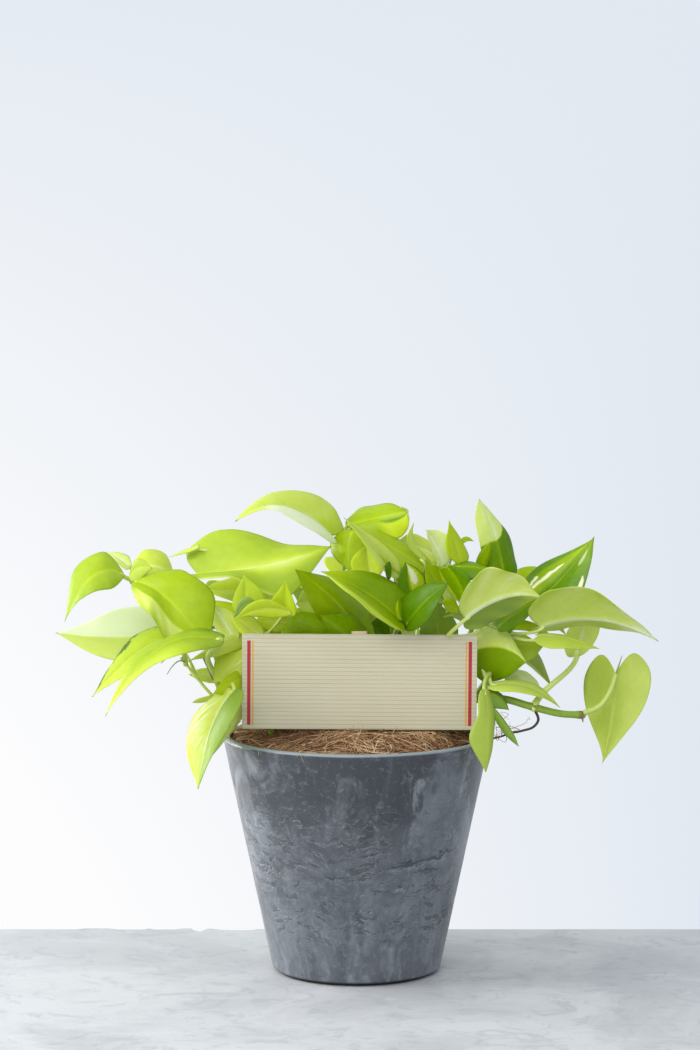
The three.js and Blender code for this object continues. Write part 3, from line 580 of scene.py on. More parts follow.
def bezier(a, b, c, d, count):
    """A cubic curve from a to d with b and c as its handles."""
    t = np.linspace(0, 1, count)[:, None]
    return (1 - t) ** 3 * a + 3 * (1 - t) ** 2 * t * b + 3 * (1 - t) * t**2 * c + t**3 * d


def doubled_ends(values):
    """The values with the first and the last one twice."""
    return np.concatenate([values[:1], values[:1], values[1:-1], values[-1:], values[-1:]])


def add_tube(shape, path, radius, sides=10, look=0, groove=0.0, **values):
    """A round section carried along a path: P = c(s) + r(s)(1 - groove cos^6(a/2))(cos a n + sin a b), with n
    across the path and b across both. Each end is closed by two smaller rings and a pole."""
    path, radius = np.asarray(path, float), np.broadcast_to(radius, len(path)).astype(float)
    along = unit(np.gradient(path, axis=0))
    caps = np.array([1.0, 0.5, 0.0])
    swell = np.sqrt(1 - caps**2)
    first, last = path[0], path[-1]
    centres = np.concatenate([
        first - along[0] * radius[0] * caps[:2, None], path[1:-1],
        last + along[-1] * radius[-1] * caps[1::-1, None],
    ])
    radii = np.concatenate([[0.15 * radius[0], swell[1] * radius[0]], radius[1:-1],
                            [swell[1] * radius[-1], 0.15 * radius[-1]]])
    along = doubled_ends(along)
    axis = np.eye(3)[np.argmin(np.abs(along).max(axis=0))]
    side = unit(axis - (along @ axis)[:, None] * along)
    over = np.cross(along, side)
    angle = np.arange(sides) * 2 * np.pi / sides
    pinch = 1 - groove * np.cos(angle / 2) ** 6
    ring = np.cos(angle)[None, :, None] * side[:, None] + np.sin(angle)[None, :, None] * over[:, None]
    points = centres[:, None] + ring * (radii[:, None] * pinch)[..., None]
    rows = len(centres)
    share = arc_lengths(centres)
    share = share / share[-1]
    uv = np.stack(np.broadcast_arrays(angle[None] / (2 * np.pi), share[:, None]), axis=-1).reshape(-1, 2)
    poles = np.stack([first - along[0] * radius[0], last + along[-1] * radius[-1]])
    points = np.concatenate([points.reshape(-1, 3), poles])
    uv = np.concatenate([uv, [[0.5, 0], [0.5, 1]]])
    spread = {}
    for name, value in values.items():
        value = doubled_ends(np.broadcast_to(value, len(path)))
        spread[name] = np.concatenate([np.repeat(value, sides), value[[0, -1]]])
    shape.add(points, closed_faces(rows, sides), look=look, uv=uv, **spread)


# ---------------------------------------------------------------- Materials

class Shader:
    """A material's nodes, from its Principled shader back."""

    def __init__(self, name):
        self.material = bpy.data.materials.new(name)
        self.material.use_nodes = True
        self.tree = self.material.node_tree
        self.tree.nodes.clear()
        self.output = self.tree.nodes.new("ShaderNodeOutputMaterial")
        self.surface = self.tree.nodes.new("ShaderNodeBsdfPrincipled")
        self.tree.links.new(self.surface.outputs[0], self.output.inputs[0])

    def feed(self, socket, value):
        if isinstance(value, bpy.types.NodeSocket):
            self.tree.links.new(value, socket)
        elif isinstance(value, (tuple, list)) and socket.type == "RGBA":
            socket.default_value = (*value[:3], 1)
        else:
            socket.default_value = value

    def node(self, kind, inputs=None, **settings):
        node = self.tree.nodes.new("ShaderNode" + kind)
        for name, value in settings.items():
            setattr(node, name, value)
        for name, value in (inputs or {}).items():
            self.feed(node.inputs[name], value)
        return node

    def set(self, **values):
        for name, value in values.items():
            self.feed(self.surface.inputs[name.replace("_", " ")], value)

    def math(self, operation, a, b=0.0, c=0.0):
        return self.node("Math", {0: a, 1: b, 2: c}, operation=operation).outputs[0]

    def times(self, a, b):
        return self.math("MULTIPLY", a, b)

    def plus(self, a, b):
        return self.math("ADD", a, b)

    def affine(self, value, slope, offset):
        return self.math("MULTIPLY_ADD", value, slope, offset)

    def size(self, value):
        return self.math("ABSOLUTE", value)

    def span(self, value, low, high, start=0.0, end=1.0):
        """A smooth step from start at low to end at high."""
        inputs = {"Value": value, "From Min": low, "From Max": high, "To Min": start, "To Max": end}
        return self.node("MapRange", inputs, interpolation_type="SMOOTHSTEP", clamp=True).outputs[0]

    def attribute(self, name):
        return self.node("Attribute", attribute_name=name).outputs["Fac"]

    def warp(self, spot, scale, amount):
        shift = self.node("TexNoise", {"Vector": spot, "Scale": scale, "Detail": 3}).outputs["Color"]
        shift = self.node("VectorMath", {0: shift, 1: (0.5, 0.5, 0.5)}, operation="SUBTRACT").outputs[0]
        shift = self.node("VectorMath", {0: shift, 1: (amount,) * 3}, operation="MULTIPLY").outputs[0]
        return self.node("VectorMath", {0: spot, 1: shift}, operation="ADD").outputs[0]

    def place(self, scale=(1, 1, 1), turn=(0, 0, 0), spot=None):
        spot = spot or self.node("TexCoord").outputs["Object"]
        return self.node("Mapping", {"Vector": spot, "Scale": scale, "Rotation": turn}).outputs[0]

    def grain(self, scale, detail=3.0, rough=0.55, twist=0.0, vector=None, kind="FBM"):
        inputs = {"Vector": vector or self.place(), "Scale": scale, "Detail": detail, "Roughness": rough,
                  "Distortion": twist}
        return self.node("TexNoise", inputs, noise_dimensions="3D", noise_type=kind).outputs[0]

    def ramp(self, value, *stops):
        node = self.node("ValToRGB", {0: value})
        bar = node.color_ramp.elements
        while len(bar) < len(stops):
            bar.new(0.5)
        for element, (place, colour) in zip(bar, stops):
            element.position, element.color = place, (*colour, 1)
        return node.outputs[0]

    def mix(self, factor, a, b, amount=None):
        """From a to b by the factor, which an amount scales."""
        factor = factor if amount is None else self.times(factor, amount)
        node = self.node("Mix", data_type="RGBA")
        for socket, value in ((node.inputs[0], factor), (node.inputs[6], a), (node.inputs[7], b)):
            self.feed(socket, value)
        return node.outputs[2]

    def bump(self, height, depth, strength=1.0, under=None):
        inputs = {"Height": height, "Distance": depth, "Strength": strength}
        if under:
            inputs["Normal"] = under
        return self.node("Bump", inputs).outputs[0]


def tint(red, green, blue):
    """A colour given as on a screen, from 0 to 255, as the shader's linear values."""
    share = np.array([red, green, blue]) / 255
    return tuple(np.where(share <= 0.04045, share / 12.92, ((share + 0.055) / 1.055) ** 2.4).tolist())


def linear(colour):
    return tuple(colour)[:3]


# ---------------------------------------------------------------- Settings

def colour_property(name, description, default):
    return bpy.props.FloatVectorProperty(
        name=name, description=description, default=default, subtype="COLOR", size=3, min=0, max=1)


def length_property(name, description, default):
    return bpy.props.FloatProperty(
        name=name, description=description, default=default * MM, min=0, unit="LENGTH", subtype="DISTANCE")


def share_property(name, description, default):
    return bpy.props.FloatProperty(
        name=name, description=description, default=default, min=0, max=1, subtype="FACTOR")


def power_property(name, description, default):
    return bpy.props.FloatProperty(name=name, description=description, default=default, min=0, unit="POWER")


class StudioSettings(bpy.types.PropertyGroup):
    wall: colour_property("Wall", "Colour of the light and the space behind the plant", tint(224, 231, 240))
    floor: colour_property("Floor", "Colour of the stone floor", tint(190, 191, 192))
    ledge: length_property("Ledge", "Distance from the planter's axis to the floor's back edge", 152)
    key: power_property("Key light", "Power of the large soft light on the left", 30)
    fill: power_property("Fill light", "Power of the soft light in front", 24)


class PlanterSettings(bpy.types.PropertyGroup):
    slate: colour_property("Slate", "Main colour of the planter", tint(107, 111, 118))
    dark: colour_property("Dark marbling", "Colour of the dark swirls", tint(48, 52, 58))
    streak: colour_property("Pale marbling", "Colour of the pale streaks", tint(146, 152, 160))
    dent: length_property("Dents", "Depth of the moulded dents", 0.5)


class FoliageSettings(bpy.types.PropertyGroup):
    dark: colour_property("Dark leaf", "Colour of the oldest leaves", tint(100, 144, 0))
    middle: colour_property("Lime leaf", "Colour of most leaves", tint(174, 198, 4))
    # The palest tones, near white, are partly painted light: they brighten leaves that glow with light from
    # behind.
    pale: colour_property("Pale leaf", "Colour of the youngest leaves", tint(247, 251, 224))
    stem: colour_property("Stem", "Colour of the stems", tint(138, 166, 50))
    cell: length_property("Fineness", "Distance between the points of a blade", 1.7)
    ripple: share_property("Ripple", "Height of the ripples along a leaf's margin", 0.02)


class CoirSettings(bpy.types.PropertyGroup):
    fibre: colour_property("Fibre", "Main colour of the coconut fibre", tint(192, 146, 101))
    # The gaps' colour is painted shade between the fibres.
    gap: colour_property("Gaps", "Colour between the fibres", tint(72, 47, 29))
    strands: bpy.props.IntProperty(name="Strands", description="Number of loose fibres", default=2500, min=1)


class PlateSettings(bpy.types.PropertyGroup):
    board: colour_property("Board", "Colour of the gift plate", tint(200, 193, 166))
    line: colour_property("Lines", "Colour of the plate's level lines", tint(182, 172, 137))
    red: colour_property("Red stripe", "Colour of the wide end stripes", tint(176, 38, 40))
    gold: colour_property("Gold stripe", "Colour of the narrow end stripes", tint(214, 158, 60))
    stake: colour_property("Stake", "Colour of the stake's wood", tint(214, 190, 160))


# ---------------------------------------------------------------- Leaf blades

def half_width(u, q=0.0, full=1.0, fall=TAPER):
    """Share of the widest at u along the blade, and the place along the midrib. From the widest place on it is
    (1 - t^2)^fall down to the drawn-out tip. Before it the square of r = 1 - u / widest and q is pressed into a
    quarter disc, x = q (1 - r^2 / 2)^(1/2), y = r (1 - q^2 / 2)^(1/2), so that the base is round. A base that
    isn't full is blended with a wedge, cos(90 r)^0.8."""
    t = np.clip((u - WIDEST) / (1 - WIDEST), 0, 1)
    r = np.clip(1 - u / WIDEST, 0, 1)
    along = np.where(u < WIDEST, WIDEST * (1 - r * np.sqrt(1 - q * q / 2)), u)
    wedge = np.maximum(np.cos(np.pi / 2 * r), 0.02) ** 0.8
    before = full * np.sqrt(1 - r * r / 2) + (1 - full) * wedge
    return np.where(u < WIDEST, before, (1 - t * t) ** fall), full * along + (1 - full) * u


class Blade:
    """The middle surface of one leaf: P(u, v) = rib(u) + side |v| h(u) + up bulge - start lobe, from the base
    at u = 0 to the tip at u = 1 and from the left margin at v = -1 to the right one at v = 1."""

    def __init__(self, points, outline=PLAIN):
        points = np.array(points, float)
        self.full, self.fall, lobe = outline[:2], outline[2:4], outline[4]
        self.base, self.tip = points[0], points[2]
        self.handle = 2 * points[1] - (self.base + self.tip) / 2
        self.length = np.linalg.norm(self.tip - self.base)
        spread = points[3:5] - self.rib(np.array([MARGIN_AT, MARGIN_AT]))
        ends = spread
        if len(points) > 5:
            share = [half_width(TWIST_AT, fall=fall)[0] for fall in self.fall]
            ends = (points[5:7] - self.rib(np.array([TWIST_AT, TWIST_AT]))) / np.array(share)[:, None]
        self.spread, self.ends = spread, ends
        self.width = np.linalg.norm(spread, axis=1).sum()
        self.lobe = lobe * self.length
        self.start = self.direction(np.zeros(1))[0]

    def rib(self, u):
        """The midrib, a quadratic curve through base, middle and tip."""
        u = np.asarray(u)[..., None]
        return (1 - u) ** 2 * self.base + 2 * u * (1 - u) * self.handle + u**2 * self.tip

    def direction(self, u):
        u = np.asarray(u)[..., None]
        return unit((1 - u) * (self.handle - self.base) + u * (self.tip - self.handle))

    def at(self, u, v):
        q = np.abs(v)
        full, fall = (np.where(v < 0, *pair) for pair in (self.full, self.fall))
        h, u = half_width(u, q, full, fall)
        turn = smooth(MARGIN_AT, TWIST_AT, u)[..., None]
        left = self.spread[0] + turn * (self.ends[0] - self.spread[0])
        right = self.spread[1] + turn * (self.ends[1] - self.spread[1])
        up = unit(np.cross(right - left, self.direction(u)))
        side = np.where(v[..., None] < 0, left, right)
        bulge = CAMBER * self.width / 2 * 4 * q * (1 - q) * h
        back = self.lobe * np.sin(np.pi * LOBE_TURN * q) * np.clip(1 - u, 0, 1) ** 4
        return self.rib(u) + side * (q * h)[..., None] + up * bulge[..., None] - self.start * back[..., None]

    def up(self):
        ends = self.at(np.array([0.02, 0.02]), np.array([-1.0, 1.0]))
        return unit(np.cross(ends[1] - ends[0], self.start))


def streak(u, v, start, end, middle, width, bend=0.0):
    """1 on a narrow band along the blade between two places, thinning at its ends, and 0 away from it."""
    share = (u - start) / (end - start)
    inside = np.clip(4 * share * (1 - share), 0, 1) ** 0.5
    off = np.abs(v - middle - bend * (share - 0.5)) / (width * np.maximum(inside, 0.02))
    return np.where(inside > 0, 1 - smooth(0.6, 1.25, off), 0)


def markings(name, u, v, q, ragged):
    """What single leaves show: tone, cream, brown and dullness to add on each point of the blade. Some of the
    tone is painted shade or painted highlight. A mark is placed by its share of the length, from the base, and
    its place across, from -1 left to 1 right."""
    tone, cream, dull = 0 * u, 0 * u, 0 * u
    left = smooth(0.04, -0.04, v)
    if name == "variegated":
        for share, rough, *band in CREAM_STREAKS:
            cream = np.maximum(cream, share * streak(u, v + rough * ragged, *band))
        tone = 0.2 * streak(u, v, 0.0, 0.9, -0.42, 0.3) + 0.16 * smooth(0.5, 0.9, u)
    elif name == "cream_marked":
        cream = streak(u, v + 0.12 * ragged, 0.42, 0.98, 0.25, 0.26)
        tone = 0.5 * streak(u, v, 0.1, 0.98, 0.35, 0.6)
    elif name == "two_tone":
        border = np.interp(u, *np.transpose(TWO_TONE_BORDER))
        pale = smooth(0.05, -0.05, v - border + 0.04 * ragged)
        tone, dull = 0.86 * pale + 0.12 * left * (1 - pale), pale
    elif name == "yellow":
        wide = 0.12 + 0.24 * np.exp(-(((u - 0.52) / 0.08) ** 2)) + 0.5 * smooth(0.74, 0.95, u)
        dark = smooth(0.96, 1.02, v + 0.14 * ragged + wide) * smooth(0.36, 0.42, u + 0.35 * ragged)
        tone = -0.8 * dark + 0.1 * smooth(0.3, 0.9, u)
    elif name == "dark_pale_edge":
        tone = 0.6 * smooth(0.74, 0.88, v) - 0.08 * smooth(0, 0.5, -v)
    elif name == "big_round":
        fold = smooth(0.42, 0.46, v) * smooth(0.04, 0.12, u) * smooth(0.85, 0.7, u)
        lines = 0.06 * np.sin(2 * np.pi * 5.5 * (u - 0.3 * q))
        tone, dull = fold * (0.42 + lines - 0.3 * smooth(0.75, 1, v)), 0.6 * fold
    elif name == "long_pale":
        below = smooth(0.1, -0.25, v)
        tone, dull = -0.26 * below - 0.06 * left + 0.08 * q, 0.95 * below
    elif name == "large_droopy":
        rim = smooth(0.1, 0.5, u) * smooth(-0.3, -0.9, v)
        shade = smooth(0.2, 0.6, v) * smooth(0.4, 0.15, u)
        tone, dull = 0.3 * rim - 0.2 * shade + 0.25 * smooth(0.6, 0.95, u), 0.4 * rim
    elif name == "pale_right":
        # Its lower half, the right one, is darkened as painted shade.
        dark = smooth(-0.04, 0.06, v)
        tone, dull = 0.06 - 0.64 * dark, 0.2 * (1 - dark)
    elif name == "large_top":
        sheen = np.exp(-(((v - 0.06) / 0.24) ** 2)) * smooth(0.1, 0.4, u) * smooth(1, 0.8, u)
        rim = smooth(0.86, 0.96, v) * smooth(0.75, 0.55, u)
        tone, dull = 0.34 * np.maximum(sheen, rim) + 0.06 * smooth(0, 1, -v), 0.9 * np.maximum(sheen, rim)
    elif name == "top_left":
        flap = smooth(-0.25, -0.4, v + 0.5 * (u - 0.4)) * smooth(0.75, 0.6, u)
        tone, dull = 0.28 * flap - 0.25 * smooth(0.2, 0, u) * (1 - flap), 0.5 * flap
    elif name == "top_centre":
        tone = 0.34 * smooth(0.3, 0.4, v) * smooth(0.35, 0.6, u) - 0.2 * streak(u, v, 0.45, 0.98, 0.26, 0.07)
    elif name == "hanging":
        shade = smooth(0.0, 0.12, -v)
        pale = (0.5 + 0.5 * np.cos(2 * np.pi * 8 * (u - 0.3 * q))) ** 4 * (1 - shade)
        pale = pale * smooth(0.15, 0.35, q) * smooth(0.95, 0.7, q)
        pale = pale * smooth(0.12, 0.2, u) * smooth(0.62, 0.45, u + 0.2 * ragged)
        tone, dull = 0.16 * pale - 0.6 * shade, 0.5 * pale + 0.6 * shade
    elif name == "folded_pale":
        # Its lower half is darkened and its ripples are banded as painted shade.
        tone = -0.55 * left * smooth(0.9, 0.6, u) + 0.12 * np.sin(2 * np.pi * (3.2 * u - 1.1 * q)) * q
    elif name == "large_right":
        tone = 0.1 * np.sin(2 * np.pi * (2.3 * u - 0.9 * q + 0.2)) * q + 0.2 * smooth(0.6, 0.9, u)
    elif name == "centre_blade":
        # The pale band along its left margin is a painted highlight.
        rim = smooth(-0.7, -0.86, v)
        tone, dull = 0.26 * smooth(0.5, 0.95, u) + 0.34 * rim + 0.04 * left, 0.4 * rim
    elif name == "heart":
        tone = 0.1 * smooth(0.2, 1, q) + 0.12 * smooth(-0.2, 0.5, v)
        tone = tone - 0.35 * smooth(0.85, 1, -v) * smooth(0.5, 0.3, u)
    return tone, cream, 0.75 * smooth(0.972, 0.992, u + 0.01 * ragged), dull


def add_blade(shape, row, number, cell, ripple):
    """A leaf blade as a thin closed shell. Both faces follow the middle surface, with the midrib sunk above
    and proud below, shallow troughs along the side veins, a ripple that grows towards the margin, and a
    thickness that falls off at the margin. Returns the blade for its petiole."""
    name, tone, points = row[0], row[1], row[3:]
    blade = Blade(points, OUTLINES.get(name, PLAIN))
    cell = cell * (CRISP_CELL if name in CRISP else 1)
    rows = int(np.clip(blade.length / cell, 12, 110))
    half = int(np.clip(blade.width / cell / 2, 4, 42))
    v = np.linspace(-1, 1, 2 * half + 1)[None, :]
    u = (np.arange(rows) / (rows - 0.25))[:, None]
    u, v = np.broadcast_arrays(u, v)
    q = np.abs(v)
    middle = blade.at(u, v)
    normal = unit(np.cross(np.gradient(middle, axis=1), np.gradient(middle, axis=0)))
    normal[0, 0], normal[0, -1] = normal[1, 1], normal[1, -2]
    rng = np.random.default_rng(1000 + number)
    phase, count = rng.uniform(0, 1, 4), rng.uniform(1.4, 2.6, 2)
    size = min(1.0, blade.length / 70)
    wave = np.sin(2 * np.pi * (np.where(v < 0, count[0], count[1]) * u + np.where(v < 0, phase[0], phase[1])))
    crest = ripple * RIPPLES.get(name, 1) * blade.width / 2 * q**3 * smooth(0, 0.25, u) * smooth(1, 0.8, u)
    middle = middle + normal * (wave * crest)[..., None]
    off_rib = q * half_width(u)[0] * blade.width / 2
    rib = np.exp(-((off_rib / (1.2 * size + 0.2)) ** 2))
    veins = (7 + 3 * size) * (u - 0.4 * q**1.25) + np.where(v < 0, 0.5, 0.0) + 0.1 * phase[2]
    between = np.sin(np.pi * np.clip(q, 0, 1)) ** 0.7 * smooth(1, 0.75, u)
    trough = (0.5 + 0.5 * np.cos(2 * np.pi * veins)) ** 3 * between
    soft = noise(middle / 17 + number * 3.1, 5, 2) * 0.35 * size * (1 - q**4)
    relief = soft - VEINS.get(name, VEIN_DEPTH) * size * trough
    thick = HALF_THICK[0] + HALF_THICK[1] * (1 - q**3)
    upper = middle + normal * (thick + relief - 0.4 * size * rib * smooth(1, 0.7, u))[..., None]
    proud = PROUD_RIB if name in PROUD else RIB_HEIGHT
    lower = middle - normal * (thick - relief + proud * size * rib * (1 - u) ** 0.7)[..., None]
    ragged = noise(np.stack([u * 9, v * 4, 0 * u + number], axis=-1) * 2.2, 9, 3)
    extra, cream, brown, dull = markings(name, u, v, q, ragged)
    dull = np.maximum(dull, DULL.get(name, 0))
    pale_rib = PALE_RIBS.get(name, PALE_RIB) * np.exp(-((off_rib / 1.5) ** 2)) * (1 - u) ** 0.7
    paleness = tone + extra + pale_rib + 0.035 * ragged - 0.05 * q**3
    uv = np.stack([0.5 + v / 2, u], axis=-1).reshape(-1, 2)
    width = 2 * half + 1
    count = rows * width
    tip = 2 * count
    end = (rows - 1) * width + np.arange(width - 1)
    cap = np.stack([end, end + 1, np.full(width - 1, tip)], axis=-1)
    upper_faces = np.concatenate([grid_faces(rows, width), cap])
    lower_faces = np.where(upper_faces == tip, tip, upper_faces + count)[:, ::-1]
    edge = np.concatenate([
        np.arange(rows, 0, -1) * width - 1, np.arange(width - 2, 0, -1), np.arange(rows) * width,
    ])
    here, there = edge[:-1], edge[1:]
    rim = np.concatenate([
        np.stack([here, there, there + count], axis=-1), np.stack([here, there + count, here + count], axis=-1),
        [[edge[-1], tip, edge[-1] + count], [tip, edge[0], edge[0] + count]],
    ])

    def both(x, last):
        return np.concatenate([x.ravel(), x.ravel(), [last]])

    points = np.concatenate([upper.reshape(-1, 3), lower.reshape(-1, 3), [blade.tip]])
    faces = np.concatenate([upper_faces, lower_faces, rim])
    below = np.arange(len(points)) >= count
    shape.add(points, faces, uv=np.concatenate([uv, uv, [[0.5, 1]]]), tone=both(paleness, tone),
              cream=both(cream, 0), brown=both(brown, 0.8), under=np.maximum(both(dull, 0), below))
    shape.looks[-1][len(upper_faces) * 2:, 1] = 1
    return blade


def rear_leaf(end, azimuth, reach, height, length, droop, lean, tone):
    """A leaf behind the plant, from the stem's end: out along its azimuth, arched over its length and folded
    up on both sides of the midrib."""
    turn, fall = math.radians(azimuth), math.radians(droop)
    up = np.array([0, 0, 1.0])
    out = np.array([math.cos(turn), math.sin(turn), 0])
    right = np.cross(out, up)
    base = np.array(end) + reach * out + height * up
    tip = base + length * (math.cos(fall) * out - math.sin(fall) * up)

    def arch(u):
        return base + u * (tip - base) + 4 * u * (1 - u) * REAR_ARCH * length * up

    def margin(side):
        angle, wide = math.radians(REAR_FOLD + side * lean), REAR_WIDTH * length
        return arch(MARGIN_AT) + side * right * wide * math.cos(angle) + up * wide * math.sin(angle)

    at = LOWEST_REAR + (1 - LOWEST_REAR) * height / REAR_SPREAD
    return ("rear", tone, at, base, arch(0.5), tip, margin(-1), margin(1))


def add_petiole(shape, stem, at, blade, tone, name):
    """The leaf's stalk: a cubic curve that leaves the stem upwards and comes to the blade from below, thick
    where it clasps the stem and again just under the blade, with a groove along its upper side."""
    start = at_share(stem, STEM_END * at)
    reach = np.linalg.norm(blade.base - start)
    rise = (np.array([0, 0, 1.0]) + unit(blade.base - start)) / 2
    arrive = (blade.start + blade.up()) / 2
    end = blade.base + blade.start * 3 - blade.up() * 0.4
    if name in VIA:
        path = smooth_path([start, *VIA[name], blade.base, end], 12)
    else:
        handle = 0.35 * reach
        count = int(np.clip(reach / 2.5, 10, 40))
        path = bezier(start, start + rise * handle, blade.base - arrive * handle, end, count)
    share = np.linspace(0, 1, len(path))
    stout = (0.85 if blade.length < SMALL_LEAF else 1.2) * STALKS.get(name, 1)
    radius = stout * (1.2 + 0.75 * np.exp(-share * reach / 9) + 0.25 * np.exp(-((1 - share) * reach / 6) ** 2))
    radius = radius * np.where(share > 0.97, 0.7, 1)
    paleness = 0.25 + 0.75 * tone + 0.1 * share
    add_tube(shape, path, radius, sides=10, look=1, groove=0.25, tone=paleness, brown=0.0)


def build_stem(name, hole, path, leaves, settings, materials, number):
    """One leafy stem: the stem itself from the soil, swollen and browned at each joint, its leaf stalks and
    its leaves."""
    shape = Shape()
    way = smooth_path([(*hole, z) for z in UPRIGHT] + list(path))
    length = arc_lengths(way)[-1]
    count = int(length / 1.6)
    share = np.linspace(0, 1, count)
    stem = at_share(way, share)
    joints = np.array([STEM_END * leaf[2] for leaf in leaves])
    near, ring = (np.exp(-(((share[:, None] - joints) * length / reach) ** 2)).max(axis=1)
                  for reach in (JOINT_REACH, RING_REACH))
    stout = 0.8 * smooth(0.3, 0.45, share) if name == "trailing_right" else 0
    tender = smooth(0.5, 0.75, share) if name == "left" else 0
    radius = 2.7 - 0.7 * share + 0.5 * near * (1 - tender) + stout - 0.8 * tender
    paleness = (0.17 if name == "trailing_right" else 0.35) + 0.3 * share + 0.6 * tender
    add_tube(shape, stem, radius, sides=14, look=1, tone=paleness, brown=0.75 * ring)
    for step, leaf in enumerate(leaves):
        blade = add_blade(shape, leaf, 20 * number + step, settings.cell / MM, settings.ripple)
        add_petiole(shape, way, leaf[2], blade, leaf[1], leaf[0])
    for places, first, last, tone, brown in TRIFLES.get(name, []):
        line = smooth_path(places, 8)
        add_tube(shape, line, np.linspace(first, last, len(line)), sides=8, look=1, tone=tone, brown=brown)
    shape.piece("leafy_stem_" + name, materials, "foliage", "vine_" + name,
                values=("tone", "under", "cream", "brown"))


def leaf_material(settings):
    """Waxy leaf skin: lime to dark green by the leaf's tone, faint paler veins, a duller underside, cream
    and brown marks, and light that glows through the blade."""
    s = Shader("leaf_blade")
    across, along, _ = s.node("SeparateXYZ", {0: s.node("UVMap", uv_map="uv").outputs[0]}).outputs
    side = s.affine(across, 2, -1)
    q = s.size(side)
    wobble = s.grain(90, 2)
    reach = s.times(s.math("POWER", q, 1.25), 0.4)
    vein = s.times(s.math("SUBTRACT", along, reach), 13)
    vein = s.plus(vein, s.times(wobble, 0.5))
    vein = s.plus(vein, s.times(s.math("GREATER_THAN", side, 0), 0.5))
    gap = s.size(s.math("SUBTRACT", s.math("FRACT", vein), 0.5))
    line = s.times(s.span(gap, 0.0, 0.09, 1, 0), s.span(q, 0.55, 0.95, 1, 0))
    rib = s.span(q, 0.015, 0.05, 1, 0)
    patch = s.grain(22, 3, 0.6)
    speck = s.grain(420, 2, 0.7)
    under = s.attribute("under")
    tone = s.plus(s.attribute("tone"), s.affine(patch, 0.24, -0.12))
    tone = s.plus(tone, s.affine(speck, 0.06, -0.03))
    tone = s.plus(tone, s.times(s.math("MAXIMUM", s.times(line, 0.6), rib), 0.07))
    # Tones above about 1 turn a blade near white: partly painted light on leaves lit from behind.
    colour = s.ramp(s.times(tone, 1 / 1.2),
                    (0.0, tint(62, 96, 0)), (0.2, linear(settings.dark)), (0.5, linear(settings.middle)),
                    (0.7, tint(203, 219, 50)), (0.85, tint(222, 233, 112)), (1.0, linear(settings.pale)))
    dull = s.mix(0.36, colour, tint(196, 214, 148))
    colour = s.mix(under, colour, dull, 0.85)
    colour = s.mix(s.attribute("cream"), colour, tint(244, 244, 204))
    colour = s.mix(s.attribute("brown"), colour, tint(128, 112, 52))
    rough = s.affine(under, 0.18, 0.3)
    rough = s.plus(rough, s.affine(patch, 0.12, -0.06))
    height = s.affine(s.math("MAXIMUM", line, s.times(rib, 0.6)), -1, 0)
    normal = s.bump(speck, 0.00006, 0.3, s.bump(height, 0.00018, 0.3))
    s.set(Base_Color=colour, Roughness=rough, Normal=normal)
    s.set(IOR=1.45, Specular_IOR_Level=0.2)
    glow = s.node("BsdfTranslucent", {"Color": s.mix(0.4, colour, tint(212, 226, 24)), "Normal": normal})
    both = s.node("MixShader", {0: 0.29, 1: s.surface.outputs[0], 2: glow.outputs[0]})
    s.tree.links.new(both.outputs[0], s.output.inputs[0])
    return s.material


def stem_material(settings):
    """Smooth green skin with fine lengthwise lines, browned at the joints."""
    s = Shader("leaf_stalk")
    lines = s.grain(60, 4, 0.6, vector=s.place(scale=(6, 6, 0.6)))
    tone = s.plus(s.attribute("tone"), s.affine(lines, 0.3, -0.15))
    colour = s.ramp(tone, (0.0, tint(98, 122, 28)), (0.5, linear(settings.stem)), (1.0, tint(214, 226, 128)))
    colour = s.mix(s.attribute("brown"), colour, tint(112, 86, 52))
    s.set(Base_Color=colour, Roughness=s.span(lines, 0, 1, 0.36, 0.52), Normal=s.bump(lines, 0.0002, 0.4))
    return s.material


# ---------------------------------------------------------------- Planter

def outer_radius(z):
    return BASE_RADIUS + (RIM_RADIUS - BASE_RADIUS) * z / POT_HEIGHT


def arc(centre, radius, start, end, steps=7):
    angle = np.radians(np.linspace(start, end, steps))
    return np.stack([centre[0] + radius * np.cos(angle), centre[1] + radius * np.sin(angle)], axis=-1)


def pot_profile():
    """Radius and height from the middle of the underside, up the wall, over the rounded rim and down inside
    to the middle of the floor."""
    lip, edge, crest = POT_HEIGHT - LIP_HEIGHT, FOOT_HEIGHT + EDGE_ROUND, POT_HEIGHT - RIM_ROUND
    wall = np.linspace(edge, lip, WALL_ROWS)[1:]
    inside = np.linspace(lip, FLOOR, INSIDE_ROWS)
    return np.concatenate([
        [(8, 0), (30, 0), (50, 0), (FOOT_RADIUS - 1, 0), (FOOT_RADIUS, 0.8), (FOOT_RADIUS, FOOT_HEIGHT)],
        arc((outer_radius(edge) - EDGE_ROUND, edge), EDGE_ROUND, -90, 0),
        np.stack([outer_radius(wall), wall], axis=-1),
        arc((RIM_RADIUS - RIM_ROUND, crest), RIM_ROUND, 0, 90),
        arc((RIM_RADIUS - WALL + RIM_ROUND, crest), RIM_ROUND, 90, 180),
        np.stack([outer_radius(inside) - WALL, inside], axis=-1),
        [(40, FLOOR), (8, FLOOR)],
    ])


